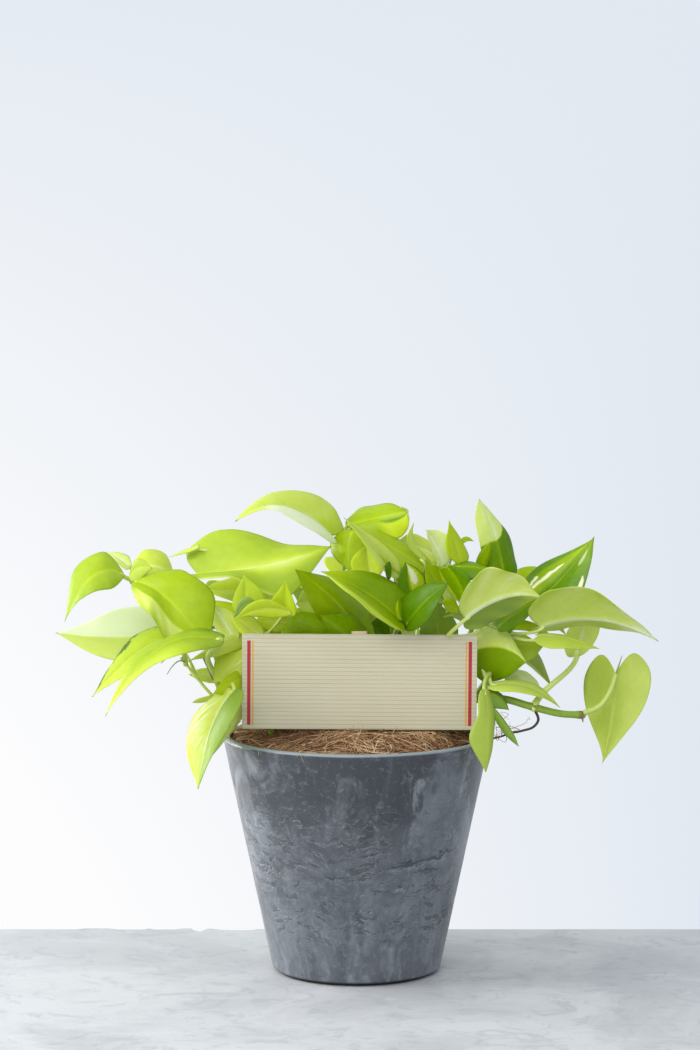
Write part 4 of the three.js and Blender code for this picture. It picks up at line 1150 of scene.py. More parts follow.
def build_planter(settings):
    """A profile turned about the upright axis: P = (r cos a, r sin a, z). The outer wall carries shallow
    dents and swirled creases in a band round its middle, and four drain holes are cut through the floor."""
    profile = pot_profile()
    sides = PLANTER_SIDES
    angle = np.arange(sides) * 2 * np.pi / sides
    radius, height = profile[:, :1], profile[:, 1:]
    ring = np.stack([np.cos(angle), np.sin(angle)], axis=-1)
    level = np.broadcast_to(height[..., None], (len(profile), sides, 1))
    points = np.concatenate([radius[..., None] * ring, level], axis=-1)
    wall = (radius > outer_radius(height) - 1) & (height > 9) & (height < POT_HEIGHT - LIP_HEIGHT)
    band = smooth(22, 50, height) * smooth(150, 105, height) * wall
    drift = np.stack([noise(points / 30, 21, 2), noise(points / 30, 22, 2), noise(points / 26, 23, 2)], axis=-1)
    swirl = points + 9 * drift
    patches = smooth(-0.15, 0.45, noise(swirl / 34, 24, 2))
    creases = smooth(0.74, 0.98, 1 - np.abs(noise(swirl / np.array([15, 15, 8]), 25, 2)))
    pits = smooth(0.35, 0.75, noise(points / np.array([5, 5, 3.4]), 26))
    depth = settings.dent / MM * band * patches * (0.8 * creases + 0.5 * pits)
    low = 0.12 * noise(swirl / 22, 27, 2) * wall
    points[..., :2] += ((low - depth)[..., None] * ring)
    shape = Shape()
    points = np.concatenate([points.reshape(-1, 3), [[0, 0, 0], [0, 0, FLOOR]]])
    shape.add(points, closed_faces(len(profile), sides))
    pot = shape.piece("planter", [planter_material(settings)], "planter", "pot")
    holes = Shape()
    for turn in (np.arange(DRAIN_HOLES) + 0.5) * 2 * np.pi / DRAIN_HOLES:
        spot = DRAIN_RING * np.array([math.cos(turn), math.sin(turn)])
        add_tube(holes, [(*spot, z) for z in (-6, -2, 2, 6, 10, 14)], DRAIN_RADIUS, sides=24)
    cutter = holes.plain("drain_cut")
    cut = pot.modifiers.new("drain", "BOOLEAN")
    cut.operation, cut.solver, cut.object = "DIFFERENCE", "EXACT", cutter
    bpy.context.view_layer.update()
    cut_mesh = bpy.data.meshes.new_from_object(pot.evaluated_get(bpy.context.evaluated_depsgraph_get()))
    pot.modifiers.clear()
    pot.data = cut_mesh
    bpy.data.objects.remove(cutter)


# Long torn marks on the planter's front, as x and z of both ends and half their width. Each is drawn in colour
# only: a dark crack of painted shade above a pale lip of painted highlight
GOUGES = [
    ((23, 99), (80, 108), 2.4), ((-28, 96), (-8, 88), 2.1), ((1, 110), (19, 113), 1.5),
    ((-5, 117), (12, 121), 1.2), ((-76, 109), (-65, 97), 1.5), ((51, 93), (67, 95), 1.4),
]


def gouge(s, x, z, wobble, start, end, width, drop):
    """1 on a wavering line between two places, in metres, fading over its half width and at both its ends."""
    slope = (end[1] - start[1]) / (end[0] - start[0])
    level = s.affine(x, slope, start[1] - slope * start[0] - drop)
    level = s.plus(level, s.affine(wobble, 0.024, -0.012))
    off = s.size(s.math("SUBTRACT", z, level))
    past, fade = 2 * MM, 7 * MM
    inside = s.times(s.span(x, start[0] - past, start[0] + fade), s.span(x, end[0] + past, end[0] - fade))
    return s.times(s.span(off, width, 0.3 * width), inside)


def planter_material(settings):
    """Satin moulded slate: dark swirls below the rim, mid greys with torn flakes and pale threads round the
    middle, upright streaks near the base, fine flecks, and a paler worn rim. The flakes and the torn marks are
    darkened as painted shade and paled at their edges as painted highlight, pale streaks on the lit left side
    are partly painted light, and the foot is darkened as painted shade."""
    s = Shader("slate_planter")
    spot = s.place()
    x, y, z = s.node("SeparateXYZ", {0: spot}).outputs
    drift = s.warp(spot, 8, 0.07)
    curl = s.warp(spot, 22, 0.03)
    swirl = s.grain(10, 6, 0.6, 0.6, s.place(scale=(1, 1, 0.6), turn=(0.1, 1.0, 0), spot=drift))
    strokes = s.grain(52, 6, 0.68, 0.9, s.place(scale=(1, 1, 0.4), turn=(0.2, 1.15, 0), spot=drift))
    veil = s.grain(30, 6, 0.68, 0.8, curl)
    drawn = s.grain(85, 4, 0.6, 0.3, s.place(scale=(1, 1, 0.13), spot=curl))
    torn = s.grain(88, 5, 0.66, 0.7, s.place(scale=(0.6, 0.6, 1.6), turn=(0, -0.16, 0), spot=curl))
    threads = s.grain(34, 6, 0.62, 0.6, drift, kind="RIDGED_MULTIFRACTAL")
    fine = s.grain(700, 3, 0.7)
    upper, low = s.span(z, 0.085, 0.165), s.span(z, 0.085, 0.02)
    band = s.times(s.span(z, 0.02, 0.05), s.span(z, 0.165, 0.115))
    field = s.times(band, s.span(s.grain(13, 2, 0.5, 0.3, drift), 0.35, 0.5))
    off_axis = s.size(s.plus(x, -0.006))
    reach = s.plus(s.affine(z, -1.15, 0.1406), off_axis)
    middle = s.span(s.affine(veil, 0.1, reach), 0.072, 0.04)
    dark = s.times(s.span(swirl, 0.465, 0.5), s.affine(upper, 0.7, 0.2))
    dark = s.math("MAXIMUM", dark, s.times(middle, s.span(swirl, 0.38, 0.42, 0.15, 0.92)))
    colour = s.mix(s.span(veil, 0.36, 0.66), tint(84, 89, 96), linear(settings.slate))
    colour = s.mix(dark, colour, linear(settings.dark))
    brushed = s.times(s.span(strokes, 0.5, 0.74), s.affine(upper, 0.08, 0.2))
    # Pale streaks on the left side only, which faces the key light: marbling brightened as painted light.
    wear_and_light = s.times(s.span(x, -0.045, -0.09), s.times(s.span(veil, 0.44, 0.6), s.span(z, 0.06, 0.13)))
    brushed = s.math("MAXIMUM", brushed, s.times(wear_and_light, 0.5))
    colour = s.mix(brushed, colour, linear(settings.streak))
    upright = s.times(s.span(drawn, 0.45, 0.7), s.affine(low, 0.42, 0.03))
    colour = s.mix(upright, colour, linear(settings.streak))
    crescent = s.times(s.span(swirl, 0.44, 0.47), s.span(swirl, 0.505, 0.475))
    crescent = s.times(s.times(crescent, s.span(strokes, 0.46, 0.6)), upper)
    colour = s.mix(crescent, colour, tint(150, 157, 165), 0.5)
    grit = s.grain(200, 4, 0.66, 0.8, curl)
    colour = s.mix(s.span(grit, 0.54, 0.68), colour, tint(146, 153, 160), 0.26)
    colour = s.mix(s.span(grit, 0.46, 0.34), colour, linear(settings.dark), 0.28)
    # The flakes are darkened as painted shade and their rims are paled as painted highlight, on top of their
    # bump.
    flake = s.times(s.span(torn, 0.545, 0.575), field)
    edge = s.times(s.times(s.span(torn, 0.535, 0.552), s.span(torn, 0.572, 0.554)), field)
    colour = s.mix(flake, colour, linear(settings.dark), 0.5)
    colour = s.mix(edge, colour, tint(184, 192, 200), 0.42)
    front = s.span(y, -0.01, -0.03)
    for row in GOUGES:
        start, end, width = (np.array(part) * MM for part in row)
        crack, lip = (s.times(gouge(s, x, z, torn, start, end, width, drop), front)
                      for drop in (0, 0.8 * width))
        # The lip is lightened as painted highlight and the crack is darkened as painted shade.
        colour = s.mix(lip, colour, tint(184, 192, 200), 0.15)
        colour = s.mix(crack, colour, tint(46, 50, 56), 0.85)
    thread = s.times(s.span(threads, 1.5, 2.1), s.affine(band, 0.3, 0.25))
    colour = s.mix(thread, colour, tint(168, 176, 184))
    colour = s.mix(s.span(fine, 0.62, 0.8), colour, tint(168, 176, 184), 0.16)
    rim = s.span(z, 0.1932, 0.1946)
    colour = s.mix(rim, colour, tint(152, 164, 169), 0.7)
    # Darker over the lowest few millimetres: painted shade where the foot meets the floor.
    colour = s.mix(s.span(z, 0.0042, 0.0024, 0, 0.85), colour, tint(26, 28, 31))
    s.set(Base_Color=colour, Roughness=s.span(swirl, 0.35, 0.7, 0.3, 0.42), Specular_IOR_Level=0.6)
    rough = s.affine(field, 0.8, 0.12)
    height = s.times(s.plus(s.times(flake, -1.0), veil), rough)
    height = s.plus(height, s.times(fine, 0.04))
    s.set(Normal=s.bump(height, 0.0016, 0.75))
    return s.material


def build_soil():
    """The CAD's soil keeps its shape and takes a crumbly dark finish."""
    s = Shader("potting_soil")
    lumps, crumbs = s.grain(160, 5, 0.7), s.grain(620, 3, 0.7)
    colour = s.ramp(lumps, (0.3, tint(34, 24, 18)), (0.55, tint(58, 42, 30)), (0.75, tint(92, 70, 50)))
    colour = s.mix(s.span(crumbs, 0.62, 0.72), colour, tint(150, 132, 110))
    s.set(Base_Color=colour, Roughness=0.92, Normal=s.bump(lumps, 0.003, 0.9, s.bump(crumbs, 0.0008, 0.6)))
    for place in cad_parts["soil"].material_slots:
        place.material = s.material


# ---------------------------------------------------------------- Mulch

def coir_height(x, y):
    """Level with the rim at the wall and heaped towards the stems, by 10 (1 - r^4), plus low waves."""
    edge = np.minimum(1, np.hypot(x, y) / COIR_RADIUS)
    waves = np.sin(x / 13) * np.cos(y / 11) + np.sin((x + y) / 17) / 2
    return COIR_EDGE + COIR_HEAP * (1 - edge**4) + COIR_RELIEF * waves


def coir_hollow(x, y):
    """From 0 to 1 in the two hollows by the plate's ends, where the mat sinks and its fibres are darker as
    painted shade.
    """
    return sum(share * np.exp(-(((x - across) / wide) ** 2) - ((y - along) / deep) ** 2)
               for across, along, wide, deep, share in COIR_HOLLOWS)


def build_coir(settings):
    """A heaped mat on polar rings, roughened with noise, and loose fibres on it. A fibre's heading is a
    start direction plus a steady turn and a slow wave, its points the running sum of its steps, and its
    height the mat's height plus an arch. Each fibre has three sides and keeps clear of the stems, and is darker
    in low clumps and in the hollows as painted shade."""
    shape = Shape()
    rings, sides = COIR_RINGS, COIR_SIDES
    share = np.linspace(0.02, 1, rings)[:, None]
    angle = (np.arange(sides) * 2 * np.pi / sides)[None]
    r = COIR_RADIUS * share**0.9
    x, y = r * np.cos(angle), r * np.sin(angle)
    spots = np.stack([x, y, 0 * x], axis=-1)
    lumps = 1.5 * noise(spots / 7, 31, 3) + CLUMP_HEIGHT * noise(spots / CLUMP_SIZE, CLUMP_SEED) - 1.2
    z = coir_height(x, y) + (lumps - HOLLOW_DEPTH * coir_hollow(x, y)) * smooth(1, 0.93, share)
    side = np.stack([x[-1], y[-1], np.full(sides, COIR_BOTTOM)], axis=-1)
    points = np.concatenate([np.stack([x, y, z], axis=-1).reshape(-1, 3), side,
                             [[0, 0, z[0].mean()], [0, 0, COIR_BOTTOM]]])
    shape.add(points, closed_faces(rings + 1, sides)[:, ::-1], shade=0.0)
    rng = np.random.default_rng(41)
    count, steps = settings.strands, FIBRE_STEPS
    column = (count, 1)
    reach = FIBRE_SPREAD * np.sqrt(rng.uniform(0.02, 1, count))
    turn = rng.uniform(0, 2 * np.pi, count)
    length = rng.uniform(18, 62, count) * np.where(rng.uniform(0, 1, count) < 0.16, 1.5, 1)
    heading = rng.uniform(0, 2 * np.pi, count)
    along = np.linspace(0, 1, steps)[None]
    heading = heading[:, None] + rng.normal(0, 1.5, column) * along
    heading = heading + rng.normal(0, 0.5, column) * np.sin(2 * np.pi * (along * rng.uniform(0.5, 1.5, column)))
    step = (length / (steps - 1))[:, None] * np.stack([np.cos(heading), np.sin(heading)])
    track = np.cumsum(step, axis=2) - step.sum(axis=2)[..., None] / 2
    fx, fy = (reach * np.stack([np.cos(turn), np.sin(turn)]))[..., None] + track
    holes = np.array([stem[1] for stem in STEMS + REAR_STEMS], float)
    for hx, hy in holes:
        away = np.hypot(fx - hx, fy - hy) + 1e-6
        push = np.maximum(0, STEM_CLEARANCE - away) / away
        fx, fy = fx + (fx - hx) * push, fy + (fy - hy) * push
    inward = np.minimum(1, FIBRE_EDGE / np.hypot(fx, fy))
    fx, fy = fx * inward, fy * inward
    lift = rng.gamma(1.7, 1.5, column) * np.sin(np.pi * along) ** 0.8
    tilt = rng.normal(0, 1.0, column) * (along - 0.5)
    clump = noise(np.stack([fx, fy, 0 * fx], axis=-1) / CLUMP_SIZE, CLUMP_SEED)
    hollow = coir_hollow(fx, fy)
    relief = (CLUMP_HEIGHT * clump - HOLLOW_DEPTH * hollow) * smooth(100, 93, np.hypot(fx, fy))
    fz = coir_height(fx, fy) + relief + 0.2 + rng.uniform(-0.6, 1.6, column) + lift + tilt
    by_plate = smooth(9, 4, np.abs(fy - PLATE_CENTRE[1])) * (np.abs(fx) < PLATE_SIZE[0] / 2 + 3.5)
    fz = fz - by_plate * np.maximum(0, fz - UNDER_PLATE)
    thick = rng.choice([0.2, 0.28, 0.36, 0.5], count, p=[0.35, 0.35, 0.2, 0.1])[:, None] * (1 - 0.6 * along**3)
    # Strands in low clumps and in the hollows by the plate are darker: painted shade.
    shade = np.clip(rng.uniform(0, 1, count) + (0.8 * clump - 0.9 * hollow).mean(axis=1), 0.14, 1)
    add_fibres(shape, np.stack([fx, fy, fz], axis=-1), thick, shade)
    stray = stray_fibres(rng)
    add_fibres(shape, stray, np.full(stray.shape[:2], 0.2), rng.uniform(0.4, 1, len(stray)))
    shape.piece("coir", [coir_material(settings)], "coir", "coir_mulch", values=("shade",))


def stray_fibres(rng):
    """A few fibres that lie over the rim: out across it on a shallow arch, then down the wall."""
    column = (STRAY_FIBRES, 1)
    t = np.linspace(0, 1, STRAY_STEPS)[None]
    turn = rng.uniform(0, 2 * np.pi, column) + rng.normal(0, 0.16, column) * t
    hang = rng.uniform(2, 8, column)
    over = 88 + 23.6 * smooth(0, 0.7, t) - 0.21 * hang * smooth(0.62, 1, t)
    height = POT_HEIGHT + 3.4 * np.sin(np.pi * np.clip(t / 0.9, 0, 1)) ** 2 - hang * smooth(0.62, 1, t)
    return np.stack([over * np.cos(turn), over * np.sin(turn), height], axis=-1)


def add_fibres(shape, paths, radius, shade):
    """Many three-sided tubes at once, each ring set across its path, closed by a face at both ends."""
    count, steps, _ = paths.shape
    along = unit(np.gradient(paths, axis=1))
    side = unit(np.cross(along, np.array([0.1, 0.2, 1.0])))
    over = np.cross(along, side)
    angle = np.arange(3) * 2 * np.pi / 3
    ring = np.cos(angle)[:, None] * side[..., None, :] + np.sin(angle)[:, None] * over[..., None, :]
    points = paths[..., None, :] + ring * radius[..., None, None]
    last = 3 * (steps - 1)
    one = np.concatenate([grid_faces(steps, 3, closed=True), [[0, 2, 1], [last, last + 1, last + 2]]])
    faces = (one[None] + 3 * steps * np.arange(count)[:, None, None]).reshape(-1, 3)
    shape.add(points, faces, shade=np.repeat(shade, 3 * steps))


def coir_material(settings):
    """Dry coconut fibre: each strand its own brown, darker in low clumps and in the hollows as painted shade,
    with fine lengthwise grain, and dark gaps in the mat as painted shade between the fibres.
    """
    s = Shader("coir_fibre")
    fine, broad = s.grain(700, 4, 0.7, 1.0), s.grain(110, 3, 0.6, 2.0)
    shade = s.attribute("shade")
    # The mat's dark gaps are painted shade between the fibres.
    mat = s.ramp(fine, (0.3, linear(settings.gap)), (0.5, tint(146, 104, 70)), (0.7, linear(settings.fibre)))
    strand = s.ramp(s.plus(shade, s.affine(broad, 0.3, -0.15)),
                    (0.12, tint(112, 72, 44)), (0.55, linear(settings.fibre)), (1.0, tint(236, 202, 158)))
    colour = s.mix(s.span(shade, 0.02, 0.12), mat, strand)
    s.set(Base_Color=colour, Roughness=0.78, Normal=s.bump(fine, 0.0012, 0.8))
    return s.material


# ---------------------------------------------------------------- Gift plate

def board(shape, outline, thick, edge, centre, roll=0.0):
    """A flat board from an outline that its middle sees all of: rings at y = -+t/2, drawn in along the
    outline's inward direction by edge (1 - sin) and moved back by edge (1 - cos), and a fan on each face."""
    outline = np.asarray(outline, float)
    before, after = outline - np.roll(outline, 1, axis=0), np.roll(outline, -1, axis=0) - outline
    inward = unit(np.stack([-before[:, 1], before[:, 0]], -1)) + unit(np.stack([-after[:, 1], after[:, 0]], -1))
    inward = inward / np.maximum((inward**2).sum(axis=1, keepdims=True) / 2, 0.5)
    bend = np.radians(np.linspace(0, 90, 5))
    front = [(edge * (1 - math.sin(a)), -thick / 2 + edge * (1 - math.cos(a))) for a in bend]
    rings = front + [(inset, -depth) for inset, depth in front[::-1]]
    flat = np.stack([outline + inset * inward for inset, _ in rings])
    depth = np.broadcast_to(np.array([d for _, d in rings])[:, None], flat.shape[:2])
    rows, sides = flat.shape[:2]
    points = np.stack([flat[..., 0], depth, flat[..., 1]], axis=-1).reshape(-1, 3)
    middle = outline.mean(axis=0)
    points = np.concatenate([points, [[middle[0], -thick / 2, middle[1]], [middle[0], thick / 2, middle[1]]]])
    turn = np.array([[math.cos(roll), 0, math.sin(roll)], [0, 1, 0], [-math.sin(roll), 0, math.cos(roll)]])
    faces = closed_faces(rows, sides)[:, ::-1]
    shape.add(points @ turn.T + np.array(centre), faces, flat=True, uv=points[:, [0, 2]] * MM)


def rounded_outline(width, height, radius, steps=4):
    """A rectangle with rounded corners, anticlockwise seen from the front."""
    corners = []
    for x, z, start in ((1, 1, 0), (-1, 1, 90), (-1, -1, 180), (1, -1, 270)):
        centre = (x * (width / 2 - radius), z * (height / 2 - radius))
        corners.append(arc(centre, radius, start, start + 90, steps))
    return np.concatenate(corners)


def plate_material(settings):
    """Pale printed wood: level lines and fine grain, and a red and a gold stripe near each end."""
    s = Shader("plate_board")
    across, up, _ = s.node("SeparateXYZ", {0: s.node("UVMap", uv_map="uv").outputs[0]}).outputs
    grain = s.grain(120, 4, 0.6, 0.4, s.place(scale=(0.09, 1, 2.2)))
    wave = s.times(s.plus(up, s.affine(grain, 0.0006, -0.0003)), 1 / (LINE_PITCH * MM))
    gap = s.size(s.math("SUBTRACT", s.math("FRACT", wave), 0.5))
    line = s.span(gap, 0.02, 0.2, 1, 0)
    colour = s.mix(s.times(line, s.affine(grain, 0.6, 0.4)), linear(settings.board), linear(settings.line))
    colour = s.mix(s.span(grain, 0.5, 0.75), colour, tint(182, 171, 136), 0.25)
    end = s.math("SUBTRACT", PLATE_SIZE[0] / 2 * MM, s.size(across))
    facing = s.node("TexCoord").outputs["Normal"]
    front = s.span(s.node("SeparateXYZ", {0: facing}).outputs[1], -0.6, -0.4, 1, 0)

    def between(place, low, high):
        """1 between two places, given in millimetres, with soft edges 0.2 wide."""
        return s.times(s.span(place, (low - 0.1) * MM, (low + 0.1) * MM),
                       s.span(place, (high - 0.1) * MM, (high + 0.1) * MM, 1, 0))

    inside = s.times(between(up, *STRIPE_ENDS), front)
    colour = s.mix(s.times(between(end, *RED_STRIPE), inside), colour, linear(settings.red))
    colour = s.mix(s.times(between(end, *GOLD_STRIPE), inside), colour, linear(settings.gold))
    s.set(Base_Color=colour, Roughness=0.62, Normal=s.bump(s.math("SUBTRACT", grain, line), 0.0002, 0.5))
    return s.material


def stake_material(settings):
    """Plain planed wood with its grain running along the stake."""
    s = Shader("stake_wood")
    grain = s.grain(160, 5, 0.65, 0.8, s.place(scale=(1.6, 1, 0.08)))
    pores = s.grain(900, 2, 0.6, 0, s.place(scale=(1, 1, 0.12)))
    colour = s.ramp(grain, (0.3, tint(186, 158, 124)), (0.55, linear(settings.stake)),
                    (0.8, tint(232, 214, 188)))
    colour = s.mix(s.span(pores, 0.62, 0.74), colour, tint(150, 120, 88), 0.4)
    s.set(Base_Color=colour, Roughness=0.7, Normal=s.bump(s.plus(grain, pores), 0.0003, 0.5))
    return s.material


# ---------------------------------------------------------------- Air roots

def build_roots():
    """The dark air root that leaves the trailing stem's joint, crosses the rim and ends in the mulch, and a
    tangle of thin dry rootlets round it."""
    shape = Shape()
    root = smooth_path(AIR_ROOT, 8)
    add_tube(shape, root, np.linspace(1.15, 0.7, len(root)), sides=8, shade=0.0)
    rng = np.random.default_rng(77)
    for _ in range(ROOTLETS):
        start = np.array([116 + rng.uniform(-6, 10), -47 + rng.uniform(-3, 3), 203 + rng.uniform(-2, 3)])
        steps = np.cumsum(rng.normal(0, 4.4, (5, 3)) * (1, 0.6, 1) + (0, 0, 1.2), axis=0)
        hair = smooth_path(np.concatenate([[start], start + steps]), 5)
        add_tube(shape, hair, np.linspace(0.28, 0.12, len(hair)), sides=5, shade=0.6 + 0.4 * rng.uniform())
    s = Shader("dry_root")
    fine = s.grain(500, 3, 0.6)
    colour = s.mix(s.attribute("shade"), tint(52, 48, 46), tint(176, 150, 116))
    colour = s.mix(s.span(fine, 0.5, 0.75), colour, tint(118, 98, 76), 0.4)
    s.set(Base_Color=colour, Roughness=0.7, Normal=s.bump(fine, 0.0004, 0.6))
    shape.piece("dry_roots", [s.material], "foliage", values=("shade",))


# ---------------------------------------------------------------- Studio

def floor_material(settings):
    """Pale honed stone: soft grey clouds, fine speckle and a few hairline cracks."""
    s = Shader("stone_floor")
    clouds, fine = s.grain(7, 6, 0.62, 0.8), s.grain(240, 3, 0.7)
    mottle = s.grain(26, 6, 0.72, 1.4)
    scratch = s.grain(60, 5, 0.7, 0.6, s.place(scale=(0.35, 1, 1), turn=(0, 0, 0.3)))
    veins = s.grain(9, 8, 0.62, 1.2, kind="RIDGED_MULTIFRACTAL")
    colour = s.mix(s.times(s.span(clouds, 0.38, 0.62), 0.55), linear(settings.floor), tint(158, 160, 163))
    colour = s.mix(s.span(mottle, 0.5, 0.66), colour, tint(150, 153, 157), 0.5)
    colour = s.mix(s.span(scratch, 0.56, 0.7), colour, tint(206, 208, 210), 0.3)
    colour = s.mix(s.span(fine, 0.5, 0.75), colour, tint(150, 153, 158), 0.2)
    crack = s.times(s.span(veins, 1.75, 1.95), s.span(clouds, 0.42, 0.56))
    colour = s.mix(crack, colour, tint(120, 124, 132), 0.55)
    s.set(Base_Color=colour, Roughness=0.62, Normal=s.bump(fine, 0.0004, 0.3))
    return s.material


def add_light(name, place, aim, size, power, colour):
    light = bpy.data.lights.new(name, "AREA")
    light.shape, light.size, light.size_y = "RECTANGLE", size[0], size[1]
    light.energy, light.color = power, colour
    lamp = bpy.data.objects.new(name, light)
    lamp.location = place
    look = np.array(aim) - np.array(place)
    lamp.rotation_euler = (math.acos(-look[2] / np.linalg.norm(look)), 0, math.atan2(-look[0], look[1]))
    bpy.context.scene.collection.objects.link(lamp)


# The worn stretch of the floor's back edge: places along it and how far they stand out behind it
WORN_EDGE = [
    (-330, 0), (-245, 0), (-237, 3.5), (-215, 3.5), (-207, -1), (-186, -1), (-181, 4), (-175, -1), (-158, -0.5),
    (-152, 3.5), (-143, 4), (-140, -5), (-136, -8), (-131, 2), (-126, 3), (-121, 0), (-114, -3.5), (-97, -4),
    (-91, -3), (-87, 1), (-60, 1), (0, 0),
]


def build_floor(settings):
    """A stone board with rounded edges. Its back edge is worn in one stretch."""
    wide, deep, thick = FLOOR_SIZE
    back = settings.ledge / MM
    outline = rounded_outline(2 * wide, deep + back, FLOOR_EDGE, CORNER_STEPS)
    wear_and_light = np.array(WORN_EDGE[::-1]) + np.array([0, (deep + back) / 2])
    outline = np.concatenate([outline[:CORNER_STEPS], wear_and_light, outline[CORNER_STEPS:]])
    shape = Shape()
    board(shape, outline, thick, FLOOR_EDGE, (0, 0, 0))
    x, y, z = np.concatenate(shape.points).T
    shape.points = [np.stack([x, z + (back - deep) / 2, -y - thick / 2], axis=-1)]
    floor = shape.plain("floor")
    floor.data.materials.append(floor_material(settings))


def build_sky(settings):
    """A pale surround that is brighter to the left and low behind the plant."""
    world = bpy.data.worlds.new("studio")
    bpy.context.scene.world = world
    world.use_nodes = True
    make, link = world.node_tree.nodes.new, world.node_tree.links.new
    spot, parts = make("ShaderNodeTexCoord"), make("ShaderNodeSeparateXYZ")
    both, level, blend = make("ShaderNodeMath"), make("ShaderNodeMath"), make("ShaderNodeMix")
    both.operation, level.operation, blend.data_type = "MULTIPLY", "MULTIPLY_ADD", "RGBA"
    link(spot.outputs["Generated"], parts.inputs[0])
    for place, (axis, start, end) in enumerate(((0, 0.11, -0.11), (2, 0.09, -0.25))):
        span = make("ShaderNodeMapRange")
        span.inputs["From Min"].default_value, span.inputs["From Max"].default_value = start, end
        link(parts.outputs[axis], span.inputs["Value"])
        link(span.outputs[0], both.inputs[place])
    link(both.outputs[0], level.inputs[0])
    level.inputs[1].default_value, level.inputs[2].default_value = 1.3, 0.06
    blend.inputs["A"].default_value = (*linear(settings.wall), 1)
    blend.inputs["B"].default_value = (*tint(253, 253, 254), 1)
    link(level.outputs[0], blend.inputs["Factor"])
    link(blend.outputs["Result"], world.node_tree.nodes["Background"].inputs["Color"])


def build_camera():
    lens = bpy.data.cameras.new("camera")
    lens.lens, lens.sensor_width, lens.sensor_height, lens.sensor_fit = CAMERA_LENS, SENSOR, SENSOR, "AUTO"
    lens.clip_start, lens.clip_end = 0.05, 50
    camera = bpy.data.objects.new("camera", lens)
    camera.location = CAMERA_PLACE
    camera.rotation_euler = (CAMERA_TILT, 0, 0)
    bpy.context.scene.collection.objects.link(camera)
    bpy.context.scene.camera = camera


def build_studio(settings):
    """The floor with its back edge behind the planter, the surround, three soft lights and the camera."""
    build_floor(settings)
    build_sky(settings)
    middle = (0, 0, 0.2)
    white = (1, 1, 1)
    add_light("key", (-1.6, -0.35, 1.2), middle, (1.2, 1.2), settings.key, (1, 0.99, 0.97))
    add_light("fill", (-0.5, -2.2, 1.6), middle, (1.6, 1.2), settings.fill, white)
    add_light("edge", (-1.3, 0.75, 0.35), (0, 0, 0.12), (0.5, 0.9), settings.key / EDGE_SHARE, white)
    build_camera()
    bpy.context.scene.view_settings.view_transform = "Standard"


# ---------------------------------------------------------------- Add-on

class POTHOS_OT_studio(bpy.types.Operator):
    """Make the floor, the lights and the camera"""
    bl_idname = "pothos.studio"
    bl_label = "Studio"

    def execute(self, context):
        build_studio(context.scene.pothos_studio)
        return {"FINISHED"}


class POTHOS_OT_planter(bpy.types.Operator):
    """Make the slate planter"""
    bl_idname = "pothos.planter"
    bl_label = "Planter"

    def execute(self, context):
        build_planter(context.scene.pothos_planter)
        return {"FINISHED"}


class POTHOS_OT_soil(bpy.types.Operator):
    """Finish the potting soil"""
    bl_idname = "pothos.soil"
    bl_label = "Soil"

    def execute(self, context):
        build_soil()
        return {"FINISHED"}


class POTHOS_OT_coir(bpy.types.Operator):
    """Make the coconut fibre mulch"""
    bl_idname = "pothos.coir"
    bl_label = "Coir Mulch"

    def execute(self, context):
        build_coir(context.scene.pothos_coir)
        return {"FINISHED"}


class POTHOS_OT_plate(bpy.types.Operator):
    """Make the blank gift plate and its stake"""
    bl_idname = "pothos.plate"
    bl_label = "Gift Plate"

    def execute(self, context):
        settings = context.scene.pothos_plate
        plate = Shape()
        outline = rounded_outline(*PLATE_SIZE[:2], BOARD_CORNER)
        board(plate, outline, PLATE_SIZE[2], BOARD_EDGE, PLATE_CENTRE, PLATE_ROLL)
        plate.piece("plate", [plate_material(settings)], "plate", "gift_plate")
        half, tip, foot = STAKE_WIDTH / 2, STAKE_TIP / 2, STAKE_FOOT + STAKE_POINT
        outline = [(half, STAKE_TOP), (-half, STAKE_TOP), (-half, foot),
                   (-tip, STAKE_FOOT), (tip, STAKE_FOOT), (half, foot)]
        stake = Shape()
        board(stake, outline, STAKE_THICK, BOARD_EDGE, (PLATE_CENTRE[0], STAKE_Y, 0))
        stake.piece("stake", [stake_material(settings)], "stake", "plate_stake")
        return {"FINISHED"}


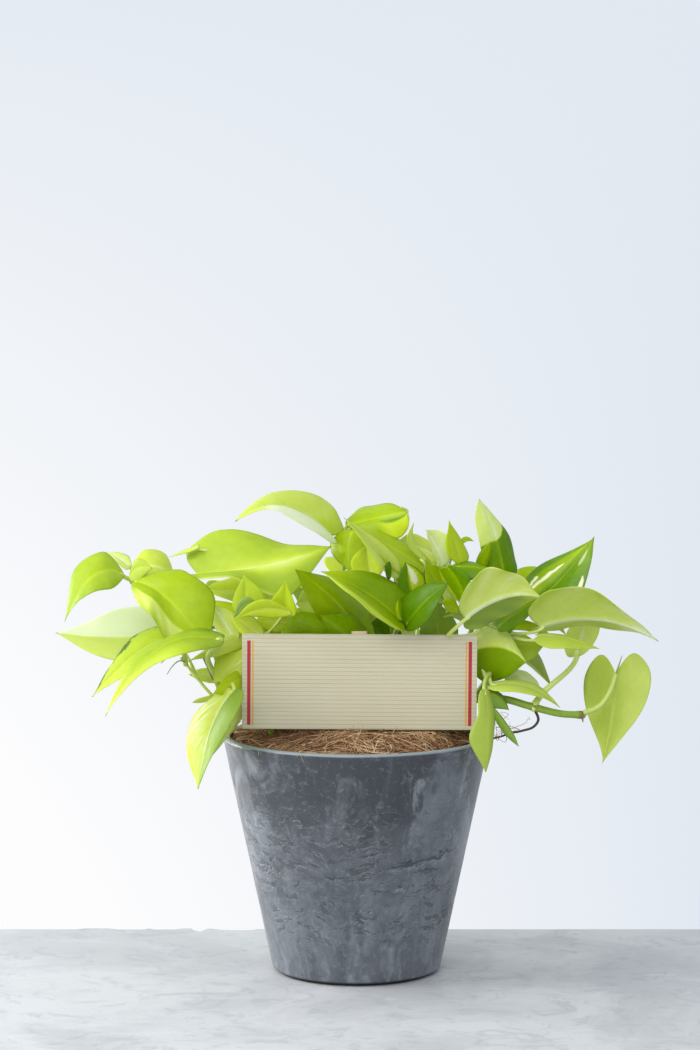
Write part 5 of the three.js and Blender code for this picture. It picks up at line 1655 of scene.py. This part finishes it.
class POTHOS_OT_foliage(bpy.types.Operator):
    """Make every leafy stem"""
    bl_idname = "pothos.foliage"
    bl_label = "Leafy Stems"

    def execute(self, context):
        settings = context.scene.pothos_foliage
        materials = [leaf_material(settings), stem_material(settings)]
        for number, (name, hole, path, leaves) in enumerate(STEMS):
            build_stem(name, hole, path, leaves, settings, materials, number)
        for number, (name, hole, path, rows) in enumerate(REAR_STEMS, len(STEMS)):
            leaves = [rear_leaf(path[-1], *row) for row in rows]
            build_stem(name, hole, path, leaves, settings, materials, number)
        return {"FINISHED"}


class POTHOS_OT_roots(bpy.types.Operator):
    """Make the air root and the dry rootlets"""
    bl_idname = "pothos.roots"
    bl_label = "Air Roots"

    def execute(self, context):
        build_roots()
        return {"FINISHED"}


class POTHOS_PT_panel(bpy.types.Panel):
    bl_label = "Potted Lime Pothos"
    bl_space_type = "VIEW_3D"
    bl_region_type = "UI"
    bl_category = "Pothos"

    def draw(self, context):
        for operator in OPERATORS:
            self.layout.operator(operator.bl_idname)
        for name in SETTINGS:
            box = self.layout.box()
            for setting in getattr(context.scene, name).__annotations__:
                box.prop(getattr(context.scene, name), setting)


OPERATORS = (POTHOS_OT_studio, POTHOS_OT_planter, POTHOS_OT_soil, POTHOS_OT_coir, POTHOS_OT_plate,
             POTHOS_OT_foliage, POTHOS_OT_roots)
SETTINGS = {
    "pothos_studio": StudioSettings, "pothos_planter": PlanterSettings, "pothos_foliage": FoliageSettings,
    "pothos_coir": CoirSettings, "pothos_plate": PlateSettings,
}


def register():
    for name, settings in SETTINGS.items():
        bpy.utils.register_class(settings)
        setattr(bpy.types.Scene, name, bpy.props.PointerProperty(type=settings))
    for item in (*OPERATORS, POTHOS_PT_panel):
        bpy.utils.register_class(item)


def unregister():
    for item in (*OPERATORS, POTHOS_PT_panel):
        bpy.utils.unregister_class(item)
    for name, settings in SETTINGS.items():
        delattr(bpy.types.Scene, name)
        bpy.utils.unregister_class(settings)


def main():
    register()
    bpy.ops.pothos.studio()
    bpy.ops.pothos.planter()
    bpy.ops.pothos.soil()
    bpy.ops.pothos.coir()
    bpy.ops.pothos.plate()
    bpy.ops.pothos.foliage()
    bpy.ops.pothos.roots()


if __name__ == "__main__":
    main()
